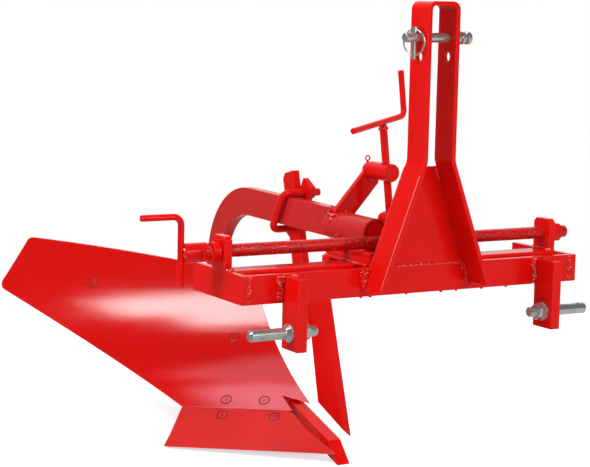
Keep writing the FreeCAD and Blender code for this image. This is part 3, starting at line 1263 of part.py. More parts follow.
def point_socket():
    """Square holder on the frog that the bar point slides through."""
    outer = point_bar(SOCKET_FRONT, SOCKET_LENGTH, SOCKET_WALL + FIT_GAP)
    outer = outer.cut(land_half(SHIN_X - FIT_GAP))
    outer = outer.cut(point_bar(0, POINT_LENGTH + BODY_SPAN, FIT_GAP))
    return largest(outer.cut(frog_faces()))


def frog_web():
    """Upright plate of the frog, between beam foot and landside."""
    start = SHIN_X - LANDSIDE_THICKNESS - WEB_THICKNESS
    outline = [V(start, y, GROUND + up) for y, up in WEB_FOOT] + [V(start, y, z) for y, z in WEB_HEAD]
    web = prism(outline, V(WEB_THICKNESS, 0, 0))
    web = web.cut(frog_faces())
    web = web.cut(point_bar(SOCKET_FRONT, SOCKET_LENGTH, SOCKET_WALL + FIT_GAP))
    web = web.cut(point_bar(0, POINT_LENGTH + POINT_SIZE, FIT_GAP))
    web = largest(web.cut(beam()))
    for place, normal in landside_bolt_places():
        web = web.cut(plough_bolt_hole(place, normal))
    return web


def frog_face():
    """Bent plate of the frog that backs the mouldboard and the share."""
    first = V(-SEAT_REACH[0], 0, SEAT_HEIGHT[0])
    last = V(-SEAT_REACH[1], 0, SEAT_HEIGHT[1])
    area = [first, V(last.x, 0, first.z), V(last.x, 0, last.z), V(first.x, 0, last.z)]
    block = in_body(prism(area, V(0, BOARD_RADIUS, 0)))
    upper = board_cylinder(BODY_GRIP)
    lower = share_front(BODY_GRIP)
    plate = block.common(upper.fuse(lower)).cut(frog_faces())
    plate = plate.cut(land_half(SHIN_X - LANDSIDE_THICKNESS - WEB_THICKNESS))
    plate = plate.cut(point_bar(-POINT_SIZE, POINT_LENGTH + 2 * POINT_SIZE, SOCKET_WALL + FIT_GAP))
    return drilled(largest(plate), PLATE_BOLTS + SHARE_BOLTS)


def board_stay():
    """Round stay from the frog's web to a pad behind the mouldboard's wing."""
    place, normal = board_point(*WING_BOLT)
    back = place - normal * BOARD_THICKNESS
    foot = V(SHIN_X - LANDSIDE_THICKNESS - WEB_THICKNESS, STAY_FOOT_Y, GROUND + STAY_FOOT_LIFT)
    pad = rod(back + normal * SEAT_THICKNESS, back - normal * SEAT_THICKNESS, STAY_PAD)
    away = V(foot - back).normalize() * (STAY_PAD / 2)
    stay = rod(foot, back - normal * STAY_DIAMETER / 2 + away, STAY_DIAMETER)
    stay = pad.fuse(stay).cut(board_cylinder(BOARD_THICKNESS)).cut(land_half(foot.x))
    return drilled(largest(stay), [WING_BOLT])


def plough_bolts():
    """All plough bolts with their nuts."""
    bolts = []
    for place, normal in bolt_places(PLATE_BOLTS + SHARE_BOLTS + [WING_BOLT]):
        bolts.append(plough_bolt(place, normal, BODY_GRIP))
    for place, normal in landside_bolt_places():
        bolts.append(plough_bolt(place, normal, LANDSIDE_THICKNESS + WEB_THICKNESS))
    return Part.makeCompound(bolts)


# =================================================================== the plough
def all_pieces():
    """Every piece of the plough by name, at the datum of the front bar."""
    pieces = {"front_bar": front_bar(), "rear_bar": rear_bar()}
    for side in SIDES:
        pieces["end_plate_" + side] = end_plate(side)
        pieces["hitch_lug_" + side] = hitch_lug(side)
        pieces["lower_pin_" + side] = lower_pin(side)
        pieces["lower_pin_nut_" + side] = lower_pin_nut(side)
        pieces["screw_bearing_" + side] = screw_bearing(side)
    for maker in (headstock_strap, headstock_gusset, top_pin, linch_pin, linch_pin_ring, lateral_screw,
                  lock_pin, lock_pin_ring, screw_collar, crank_hub, crank_handle, screw_end_nut,
                  carriage_plate, carriage_flanges, carriage_keeper, clamp_bolts, screw_nut_block,
                  pivot_sleeve, sleeve_saddle, trunnion_cheeks, roll_trunnion, roll_screw, roll_t_handle,
                  pivot_shaft, shaft_retainer, beam_collar, beam, roll_arm, roll_pin, split_pin,
                  coulter, coulter_u_bolt, coulter_clamp_plate, coulter_clamp_nuts, mouldboard, share,
                  bar_point, point_socket, landside, frog_web, frog_face, board_stay, plough_bolts):
        pieces[maker.__name__] = maker()
    return pieces


def main():
    """Build all pieces, set the origin below the middle and write one file for each."""
    os.makedirs("parts", exist_ok=True)
    pieces = all_pieces()
    whole = FreeCAD.BoundBox()
    for shape in pieces.values():
        whole.add(shape.optimalBoundingBox(False))
    shift = V(-whole.Center.x, -whole.Center.y, -whole.ZMin)
    print("shift", shift.x, shift.y, shift.z)
    for name, shape in pieces.items():
        moved = shape.copy()
        moved.translate(shift)
        moved.exportStep("parts/" + name + ".step")
        solids = len(moved.Solids)
        print(name, "solids", solids, "valid", moved.isValid(), "volume", round(moved.Volume))


main()
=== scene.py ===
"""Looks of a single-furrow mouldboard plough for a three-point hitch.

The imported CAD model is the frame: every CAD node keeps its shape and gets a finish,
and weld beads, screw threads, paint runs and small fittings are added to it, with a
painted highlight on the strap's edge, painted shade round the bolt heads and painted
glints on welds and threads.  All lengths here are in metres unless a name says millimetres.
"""
import logging
import math
import random
from dataclasses import dataclass
from enum import Enum
from typing import Sequence

import bmesh
import bpy
from mathutils import Matrix, Vector


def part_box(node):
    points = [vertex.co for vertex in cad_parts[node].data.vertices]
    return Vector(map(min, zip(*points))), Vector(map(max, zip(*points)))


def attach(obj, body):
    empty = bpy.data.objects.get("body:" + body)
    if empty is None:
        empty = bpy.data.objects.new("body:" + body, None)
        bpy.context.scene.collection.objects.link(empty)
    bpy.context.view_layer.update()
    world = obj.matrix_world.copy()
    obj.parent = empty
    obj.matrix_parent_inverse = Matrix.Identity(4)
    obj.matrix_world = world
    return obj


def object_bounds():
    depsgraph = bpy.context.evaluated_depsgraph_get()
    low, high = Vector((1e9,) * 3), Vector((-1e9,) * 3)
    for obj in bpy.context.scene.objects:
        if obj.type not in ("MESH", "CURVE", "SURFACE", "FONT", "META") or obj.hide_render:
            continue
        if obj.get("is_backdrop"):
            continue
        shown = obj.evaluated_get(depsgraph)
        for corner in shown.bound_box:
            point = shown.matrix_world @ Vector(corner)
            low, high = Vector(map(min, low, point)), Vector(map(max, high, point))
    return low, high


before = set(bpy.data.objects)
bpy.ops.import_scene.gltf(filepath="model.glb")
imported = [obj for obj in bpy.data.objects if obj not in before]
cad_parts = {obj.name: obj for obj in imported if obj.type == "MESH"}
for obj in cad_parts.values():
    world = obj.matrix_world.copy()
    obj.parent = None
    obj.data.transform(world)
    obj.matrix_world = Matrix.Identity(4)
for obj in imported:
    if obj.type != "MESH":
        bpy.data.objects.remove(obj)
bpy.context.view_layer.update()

logging.basicConfig(level=logging.INFO, format="%(levelname)s %(message)s")
LOG = logging.getLogger("plough")

Colour = tuple[float, float, float]
Point = tuple[float, float, float]
Pair = tuple[float, float]
Socket = bpy.types.NodeSocket
Piece = bpy.types.Object
Finish = bpy.types.Material

MM = 0.001
ALONG_X = Vector((1.0, 0.0, 0.0))
ALONG_Y = Vector((0.0, 1.0, 0.0))
WHITE: Colour = (1.0, 1.0, 1.0)
SIDES = ((-1, "furrow_side"), (1, "land_side"))

# Cosines between the softened and the flat normal at which an edge mask is 0 and 1.
EDGE_COSINES: Pair = (0.985, 0.86)
# Faces that meet at less than this angle are shaded smooth, in radians.
SMOOTH_ANGLE = math.radians(50)
# x and z, in millimetres from the datum, of the sleeve's and collar's axis and of the roll pin.
HUB: Pair = (-30.0, 49.0)
ROLL_PIN: Pair = (36.0, 163.7)


class Body(Enum):
    """The CAD bodies that pieces ride on."""

    FRAME = "frame"
    LATERAL_SCREW = "lateral_screw"
    CARRIAGE = "carriage"
    BEAM = "beam"
    ROLL_SCREW = "roll_screw"


class Slot(Enum):
    """Names of material slots."""

    RED_PAINT = "red_paint"
    ZINC = "zinc_plate"


def datum() -> Vector:
    """The point all places are measured from: the front bar's front top edge, in the middle."""
    low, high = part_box("front_bar")
    return Vector(((low.x + high.x) / 2, low.y, high.z))


def at(x: float, y: float, z: float) -> Vector:
    """The place so many millimetres towards the land side, rearwards and up from the datum."""
    return datum() + Vector((x, y, z)) * MM


# ------------------------------------------------------------------ material tools
class NodeBench:
    """A small workbench for building one node tree."""

    def __init__(self, owner: Finish | bpy.types.World,
                 output: str = "ShaderNodeOutputMaterial") -> None:
        """Start with an empty tree.

        Args:
            owner: the material or world whose nodes are built.
            output: Blender type of its output node.
        """
        self.owner = owner
        owner.use_nodes = True
        self.tree = owner.node_tree
        self.tree.nodes.clear()
        self.output = self.add(output)

    def add(self, kind: str, **values: object) -> bpy.types.Node:
        """Add a node and set its properties or inputs by name.

        Args:
            kind: the node's Blender type.
            values: properties of the node, or default values of its inputs.

        Returns:
            The new node.
        """
        node = self.tree.nodes.new(kind)
        for key, value in values.items():
            if hasattr(node, key):
                setattr(node, key, value)
            else:
                node.inputs[key.replace("_", " ")].default_value = value
        return node

    def join(self, source: Socket, target: Socket) -> None:
        """Link one socket to another."""
        self.tree.links.new(source, target)

    def noise(self, scale: float | Point, detail: float = 2.0, roughness: float = 0.5) -> Socket:
        """Noise over the object's own coordinates.

        Args:
            scale: features per metre, about, or that along x, y and z.
            detail: octaves.
            roughness: strength of the finer octaves.

        Returns:
            The noise's value socket.
        """
        place = self.add("ShaderNodeTexCoord").outputs["Object"]
        if isinstance(scale, tuple):
            mapping = self.add("ShaderNodeMapping", Scale=scale)
            self.join(place, mapping.inputs["Vector"])
            place, scale = mapping.outputs["Vector"], 1.0
        node = self.add("ShaderNodeTexNoise", Scale=scale, Detail=detail, Roughness=roughness)
        self.join(place, node.inputs["Vector"])
        return node.outputs["Fac"]

    def ramp(self, value: Socket, stops: Sequence[tuple[float, Colour]]) -> Socket:
        """A colour ramp.

        Args:
            value: what drives the ramp.
            stops: position and colour of each stop.

        Returns:
            The ramp's colour socket.
        """
        node = self.add("ShaderNodeValToRGB")
        ramp = node.color_ramp
        while len(ramp.elements) < len(stops):
            ramp.elements.new(0.5)
        for element, (position, colour) in zip(ramp.elements, stops):
            element.position = position
            element.color = (*colour, 1.0)
        self.join(value, node.inputs["Fac"])
        return node.outputs["Color"]

    def range(self, value: Socket, low: float, high: float, to_low: float = 0.0,
              to_high: float = 1.0, smooth: bool = False) -> Socket:
        """Remap a value, clamped.

        Args:
            value: the value to remap.
            low: input that gives to_low.
            high: input that gives to_high.
            to_low: output at low.
            to_high: output at high.
            smooth: whether both ends are eased.

        Returns:
            The remapped value's socket.
        """
        node = self.add(
            "ShaderNodeMapRange", From_Min=low, From_Max=high, To_Min=to_low, To_Max=to_high,
            interpolation_type="SMOOTHSTEP" if smooth else "LINEAR")
        self.join(value, node.inputs["Value"])
        return node.outputs["Result"]

    def math(self, operation: str, first: object, second: object) -> Socket:
        """A math node whose inputs are sockets or numbers.

        Args:
            operation: the node's operation.
            first: a socket or a number.
            second: a socket or a number.

        Returns:
            The result's socket.
        """
        node = self.add("ShaderNodeMath", operation=operation)
        for slot, value in zip(node.inputs, (first, second)):
            if isinstance(value, (int, float)):
                slot.default_value = value
            else:
                self.join(value, slot)
        return node.outputs[0]

    def mix(self, factor: Socket, first: object, second: object) -> Socket:
        """A colour mix of two colours or colour sockets.

        Args:
            factor: share of the second colour.
            first: a colour or a socket.
            second: a colour or a socket.

        Returns:
            The mixed colour's socket.
        """
        node = self.add("ShaderNodeMix", data_type="RGBA")
        for slot, value in ((node.inputs[6], first), (node.inputs[7], second)):
            if isinstance(value, tuple):
                slot.default_value = (*value, 1.0)
            else:
                self.join(value, slot)
        self.join(factor, node.inputs[0])
        return node.outputs[2]

    def blend(self, factor: Socket, first: Socket, second: Socket) -> Socket:
        """A mix of two shaders.

        Args:
            factor: share of the second shader.
            first: a shader's socket.
            second: a shader's socket.

        Returns:
            The mixed shader's socket.
        """
        node = self.add("ShaderNodeMixShader")
        for slot, socket in zip(node.inputs, (factor, first, second)):
            self.join(socket, slot)
        return node.outputs[0]

    def edge(self, radius: float) -> tuple[Socket, Socket]:
        """Softened edges.

        Args:
            radius: radius over which an edge is softened.

        Returns:
            The softened normal, and a mask that is 1 on edges and 0 on flats.
        """
        soft = self.add("ShaderNodeBevel", samples=6, Radius=radius)
        flat = self.add("ShaderNodeNewGeometry")
        dot = self.add("ShaderNodeVectorMath", operation="DOT_PRODUCT")
        self.join(soft.outputs["Normal"], dot.inputs[0])
        self.join(flat.outputs["Normal"], dot.inputs[1])
        return soft.outputs["Normal"], self.range(dot.outputs["Value"], *EDGE_COSINES)

    def bumps(self, normal: Socket, *layers: tuple[Socket, float]) -> Socket:
        """Bumps laid one over another.

        Args:
            normal: the normal to start from.
            layers: for each bump its height's socket, 0 to 1, and the height of 1 in millimetres.

        Returns:
            The bumped normal's socket.
        """
        for height, depth in layers:
            node = self.add("ShaderNodeBump", Strength=1.0, Distance=depth * MM)
            self.join(height, node.inputs["Height"])
            self.join(normal, node.inputs["Normal"])
            normal = node.outputs["Normal"]
        return normal

    def coat(self, colour: Socket, roughness: Socket, normal: Socket, **values: float) -> Finish:
        """A Principled shader joined to the output, with its constants on its own sockets.

        Args:
            colour: the base colour's socket.
            roughness: the roughness's socket.
            normal: the normal's socket.
            values: the constants, by input.

        Returns:
            The finished material.
        """
        shader = self.add("ShaderNodeBsdfPrincipled", **values)
        for name, socket in (("Base Color", colour), ("Roughness", roughness), ("Normal", normal)):
            self.join(socket, shader.inputs[name])
        self.join(shader.outputs[0], self.output.inputs["Surface"])
        return self.owner


@dataclass(frozen=True)
class Enamel:
    """Glossy red enamel, brushed or sprayed thickly over steel.

    Attributes:
        name: the material's name.
        colour: the paint's colour.
        deep: its colour in random patches where it lies thick.
        pale_wear_and_glint: its pale colour on edges, partly rubbed paint and partly a painted
            highlight, and the colour of the small spots painted as glints.
        gloss: roughness of the film.
        shine: how strongly the film reflects.
        peel_mm: height of the orange-peel texture.
        sag_mm: height of the broad waves in the film.
        grit_mm: height of grit and dust caught in the film.
        sag_scale: broad waves per metre.
        peel_scale: fine waves per metre.
        grit_scale: grains per metre.
        patch_scale: patches per metre of lightened edge.
        edge_radius: radius over which edges are softened.
        edge_wear_and_highlight: how much the edges are lightened, partly as rubbed paint and partly
            as a painted highlight.
        glint_specks: how strongly small pale spots painted as glints show.
        glint_speck_scale: such spots per metre.
    """

    name: str
    colour: Colour = (0.70, 0.0045, 0.0030)
    deep: Colour = (0.63, 0.0035, 0.0024)
    pale_wear_and_glint: Colour = (0.84, 0.120, 0.095)
    gloss: float = 0.16
    shine: float = 0.24
    peel_mm: float = 0.035
    sag_mm: float = 0.12
    grit_mm: float = 0.05
    sag_scale: float = 30.0
    peel_scale: float = 420.0
    grit_scale: float = 700.0
    patch_scale: float = 160.0
    edge_radius: float = 0.0016
    edge_wear_and_highlight: float = 0.60
    glint_specks: float = 0.0
    glint_speck_scale: float = 260.0

    def build(self) -> Finish:
        """Build the material and return it."""
        bench = NodeBench(bpy.data.materials.new(self.name))
        soft, edge = bench.edge(self.edge_radius)
        tone = bench.ramp(
            bench.noise(9.0, 4.0), ((0.30, self.deep), (0.48, self.colour), (0.75, self.colour)))
        # Lightened edges in patches: partly rubbed paint, partly a painted highlight; the small
        # pale spots are painted glints.
        patchy = bench.range(bench.noise(self.patch_scale, 3.0, 0.6), 0.35, 0.6)
        wear_highlight_and_glints = bench.math("MULTIPLY", bench.math("MULTIPLY", edge, patchy), self.edge_wear_and_highlight)
        if self.glint_specks:
            spots = bench.range(bench.noise(self.glint_speck_scale, 2.0, 0.6), 0.60, 0.65)
            wear_highlight_and_glints = bench.math("MAXIMUM", wear_highlight_and_glints, bench.math("MULTIPLY", spots, self.glint_specks))
        smear = bench.range(
            bench.noise(30.0, 4.0, 0.6), 0.3, 0.75, self.gloss * 0.75, self.gloss * 1.4)
        normal = bench.bumps(
            soft,
            (bench.noise(self.sag_scale, 2.0, 0.4), self.sag_mm),
            (bench.noise(self.peel_scale, 2.0, 0.5), self.peel_mm),
            (bench.range(bench.noise(self.grit_scale, 1.0), 0.66, 0.8), self.grit_mm))
        return bench.coat(
            bench.mix(wear_highlight_and_glints, tone, self.pale_wear_and_glint), smear, normal,
            Metallic=0.0, IOR=1.46, Specular_IOR_Level=self.shine)


@dataclass(frozen=True)
class SprayedPlate(Enamel):
    """Enamel sprayed in passes over a large bent plate: a finer, drier film in its own bands.

    Attributes:
        pass_scale: spray passes per metre along the object's axes.
        dry_gloss: roughness where the spray fell dry.
    """

    sag_scale: float = 22.0
    peel_scale: float = 650.0
    pass_scale: Point = (1.5, 1.5, 9.0)
    dry_gloss: float = 0.46
    glint_specks: float = 0.10
    glint_speck_scale: float = 900.0

    def build(self) -> Finish:
        """Build the material and return it."""
        bench = NodeBench(bpy.data.materials.new(self.name))
        soft, edge = bench.edge(self.edge_radius)
        tone = bench.ramp(
            bench.noise(self.pass_scale, 2.0),
            ((0.32, self.deep), (0.5, self.colour), (0.75, self.colour)))
        # Lightened edges, partly rubbed paint and partly a painted highlight, and small pale spots
        # painted as glints.
        spots = bench.range(bench.noise(self.glint_speck_scale, 2.0, 0.7), 0.58, 0.72)
        wear_highlight_and_glints = bench.math(
            "MAXIMUM", bench.math("MULTIPLY", edge, self.edge_wear_and_highlight),
            bench.math("MULTIPLY", spots, self.glint_specks))
        dry = bench.range(bench.noise(14.0, 5.0, 0.65), 0.35, 0.7, self.gloss, self.dry_gloss)
        normal = bench.bumps(
            soft,
            (bench.noise(self.sag_scale, 2.0, 0.4), self.sag_mm),
            (bench.noise(self.peel_scale, 2.0, 0.6), self.peel_mm))
        return bench.coat(
            bench.mix(wear_highlight_and_glints, tone, self.pale_wear_and_glint), dry, normal,
            Metallic=0.0, IOR=1.5, Specular_IOR_Level=self.shine)


@dataclass(frozen=True)
class ZincPlating:
    """Bright zinc plating over turned steel.

    Attributes:
        name: the material's name.
        colour: the plating's colour.
        dull: its colour where it has dulled.
        cloudy: its colour where it is cloudy.
        bright: its colour on edges.
        gloss: roughness.
        grain: turned marks per metre along x, y and z.
        edge_radius: radius over which edges are softened.
        turned_mm: height of the turned marks.
        pit_mm: height of the fine pits.
    """

    name: str
    colour: Colour = (0.60, 0.64, 0.62)
    dull: Colour = (0.46, 0.49, 0.47)
    cloudy: Colour = (0.56, 0.59, 0.56)
    bright: Colour = (0.80, 0.81, 0.80)
    gloss: float = 0.17
    grain: Point = (900.0, 60.0, 60.0)
    edge_radius: float = 0.0008
    turned_mm: float = 0.02
    pit_mm: float = 0.012

    def build(self) -> Finish:
        """Build the material and return it."""
        bench = NodeBench(bpy.data.materials.new(self.name))
        soft, edge = bench.edge(self.edge_radius)
        cloud = bench.noise(55.0, 4.0, 0.6)
        tone = bench.ramp(cloud, ((0.30, self.dull), (0.55, self.colour), (0.80, self.cloudy)))
        colour = bench.mix(bench.math("MULTIPLY", edge, 0.6), tone, self.bright)
        rough = bench.range(cloud, 0.3, 0.8, self.gloss * 1.35, self.gloss * 0.8)
        normal = bench.bumps(
            soft, (bench.noise(self.grain, 1.0), self.turned_mm),
            (bench.noise(600.0, 2.0), self.pit_mm))
        return bench.coat(colour, rough, normal, Metallic=0.80, IOR=2.0)


@dataclass(frozen=True)
class PaleFloor:
    """A seamless white floor that keeps the object's shadow.

    Attributes:
        name: the material's name.
        tone: the floor's own paleness.
        lift: how much the floor's white adds for the eye and for reflections.
        mirrored: how white the floor is in reflections.
        dim_side: how much of that is left at the furrow side.
        dim_from_to: from where to where, across the plough in metres, that dimming fades.
        near: distance from the middle at which the floor starts to turn plain white, in metres.
        far: distance at which it is plain white.
    """

    name: str = "pale_floor"
    tone: float = 0.70
    lift: float = 0.62
    mirrored: float = 0.58
    dim_side: float = 0.25
    dim_from_to: Pair = (-1.2, 0.6)
    near: float = 0.9
    far: float = 2.2

    def build(self) -> Finish:
        """Build the material and return it."""
        bench = NodeBench(bpy.data.materials.new(self.name))
        path = bench.add("ShaderNodeLightPath").outputs
        eye, gloss = path["Is Camera Ray"], path["Is Glossy Ray"]
        seen = bench.math("MAXIMUM", eye, gloss)
        seen = bench.math("MAXIMUM", seen, path["Is Transmission Ray"])
        cloth = bench.add("ShaderNodeBsdfDiffuse", Roughness=0.6, Color=(*(self.tone,) * 3, 1.0))
        glow = bench.add("ShaderNodeEmission")
        bench.join(bench.math("MULTIPLY", seen, self.lift), glow.inputs["Strength"])
        both = bench.add("ShaderNodeAddShader")
        bench.join(cloth.outputs[0], both.inputs[0])
        bench.join(glow.outputs[0], both.inputs[1])
        place = bench.add("ShaderNodeTexCoord").outputs["Object"]
        reach = bench.add("ShaderNodeVectorMath", operation="LENGTH")
        bench.join(place, reach.inputs[0])
        away = bench.range(reach.outputs["Value"], self.near, self.far)
        across = bench.add("ShaderNodeSeparateXYZ")
        bench.join(place, across.inputs[0])
        dimmed = bench.range(
            across.outputs["X"], *self.dim_from_to, self.mirrored * self.dim_side, self.mirrored)
        shown = bench.math("MAXIMUM", eye, bench.math("MULTIPLY", gloss, dimmed))
        plain = bench.add("ShaderNodeEmission")
        bench.join(shown, plain.inputs["Strength"])
        plain_share = bench.math("MAXIMUM", bench.math("MULTIPLY", away, seen), gloss)
        bench.join(bench.blend(plain_share, both.outputs[0], plain.outputs[0]),
                   bench.output.inputs["Surface"])
        return bench.owner


class Paints:
    """Every finish on the plough, built once.

    Attributes:
        bar: on bars, plates, strap and lugs.
        beam: on the beam and its sleeve.
        plate: on the mouldboard and its bolts.
        share: on the share.
        tool: on coulter, landside and point.
        weld: on weld beads, with small pale spots painted as glints.
        thread: on the lateral screw, with small pale spots painted as glints.
        small: on cranks, clamps and other small pieces.
        groove: dark paint standing in for the shade in the grooves round bolt heads.
        edge: a pale ridge painted as the highlight along the strap's front edge.
        zinc_across: on pins that lie across the plough.
        zinc_small: on the ring and on threads of bright zinc.
    """

    def __init__(self) -> None:
        """Build the finishes."""
        self.bar = Enamel("enamel_on_bars").build()
        self.beam = Enamel(
            "enamel_on_beam", colour=(0.56, 0.018, 0.016), deep=(0.50, 0.014, 0.012), gloss=0.22,
            shine=0.30, sag_mm=0.20, sag_scale=40.0).build()
        self.plate = SprayedPlate(
            "enamel_on_mouldboard", colour=(0.58, 0.0045, 0.0035), deep=(0.52, 0.0030, 0.0022),
            gloss=0.09, dry_gloss=0.14, shine=0.32, peel_mm=0.04).build()
        # The share's pale edge is partly rubbed paint and partly a painted highlight.
        self.share = SprayedPlate(
            "enamel_on_share", colour=(0.60, 0.0120, 0.0085), deep=(0.54, 0.0080, 0.0060),
            pale_wear_and_glint=(0.86, 0.30, 0.24), gloss=0.28, dry_gloss=0.40, shine=0.15, edge_wear_and_highlight=0.85,
            pass_scale=(6.0, 6.0, 6.0)).build()
        self.tool = Enamel("enamel_on_coulter", gloss=0.20, edge_wear_and_highlight=0.75).build()
        # Its pale spots are painted glints on the beads.
        self.weld = Enamel(
            "enamel_on_welds_with_painted_glints", pale_wear_and_glint=(0.90, 0.50, 0.46), gloss=0.08, shine=0.9, sag_mm=0.40,
            sag_scale=210.0, grit_mm=0.0, edge_wear_and_highlight=0.0, glint_specks=0.42, glint_speck_scale=130.0).build()
        # Its pale spots are painted glints on the thread.
        self.thread = Enamel(
            "enamel_in_thread_with_painted_glints", colour=(0.54, 0.004, 0.004), deep=(0.34, 0.002, 0.002),
            pale_wear_and_glint=(0.86, 0.42, 0.40), gloss=0.10, shine=0.7, sag_mm=1.1, sag_scale=330.0,
            grit_mm=0.0, edge_wear_and_highlight=0.0, glint_specks=0.22).build()
        self.small = Enamel("enamel_on_small_pieces", sag_mm=0.15, edge_radius=0.001).build()
        # Dark paint that stands in for the shade round and in the bolt heads.
        self.groove = Enamel(
            "enamel_painted_groove_shade", colour=(0.20, 0.004, 0.004), deep=(0.12, 0.002, 0.002),
            gloss=0.35).build()
        # Pale pink paint that stands in for the highlight on the strap's front edge.
        self.edge = Enamel(
            "enamel_painted_edge_highlight", colour=(0.84, 0.34, 0.31), deep=(0.74, 0.14, 0.12), gloss=0.14,
            edge_wear_and_highlight=0.0).build()
        self.zinc_across = ZincPlating("zinc_on_pins").build()
        self.zinc_small = ZincPlating("zinc_on_wire", gloss=0.2, grain=(80.0, 80.0, 80.0)).build()


# ------------------------------------------------------------------- mesh tools
def deselect_all() -> None:
    """Leave edit mode and select nothing."""
    if bpy.context.object is not None and bpy.context.object.mode != "OBJECT":
        bpy.ops.object.mode_set(mode="OBJECT")
    bpy.ops.object.select_all(action="DESELECT")


def open_mesh() -> Piece:
    """Apply the active object's place and turn, and open its mesh with all of it selected.

    Returns:
        The active object.
    """
    piece = bpy.context.object
    bpy.ops.object.transform_apply(location=True, rotation=True, scale=True)
    bpy.ops.object.mode_set(mode="EDIT")
    bpy.ops.mesh.select_all(action="SELECT")
    return piece


def settle(obj: Piece, name: str, body: Body, paint: Finish) -> Piece:
    """Finish a piece: place in the mesh, normals out, name, finish and body.

    Args:
        obj: the piece.
        name: its name.
        body: the body it rides on.
        paint: its finish.

    Returns:
        The piece.
    """
    deselect_all()
    obj.select_set(True)
    bpy.context.view_layer.objects.active = obj
    open_mesh()
    bpy.ops.mesh.normals_make_consistent(inside=False)
    bpy.ops.object.mode_set(mode="OBJECT")
    bpy.ops.object.shade_smooth_by_angle(angle=SMOOTH_ANGLE)
    obj.name = name
    obj.data.name = name
    obj.data.materials.clear()
    obj.data.materials.append(paint)
    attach(obj, body.value)
    obj.select_set(False)
    LOG.info("%s: %d faces", name, len(obj.data.polygons))
    return obj


# ------------------------------------------------------------------ CAD dressing
@dataclass
class CadDress:
    """Gives every CAD node its finish.

    Attributes:
        paints: the finishes.
        rules: a finish and how its nodes' names start. The first rule that fits counts, and
            all other nodes are painted like the bars.
    """

    paints: Paints
    rules: tuple[tuple[str, tuple[str, ...]], ...] = (
        ("zinc_small", ("linch_pin_ring",)),
        ("zinc_across", ("lower_pin", "top_pin", "linch_pin")),
        ("plate", ("mouldboard", "plough_bolts")),
        ("share", ("share",)),
        ("beam", ("beam", "pivot_sleeve")),
        ("tool", ("coulter", "landside", "bar_point")),
        ("thread", ("lateral_screw",)),
        ("small", ("crank", "lock_pin", "split_pin", "roll_t_handle", "clamp_bolts", "screw_")),
    )

    def finish_for(self, node: str) -> Finish:
        """The finish of one CAD node.

        Args:
            node: the node's name.

        Returns:
            The material.
        """
        for paint, starts in self.rules:
            if node.startswith(starts):
                return getattr(self.paints, paint)
        return self.paints.bar

    def dress(self) -> None:
        """Put the finishes on."""
        for name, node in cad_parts.items():
            paint = self.finish_for(name)
            node.data.materials.clear()
            node.data.materials.append(paint)
            for face in node.data.polygons:
                face.material_index = 0
        LOG.info("%d CAD nodes have their finish", len(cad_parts))


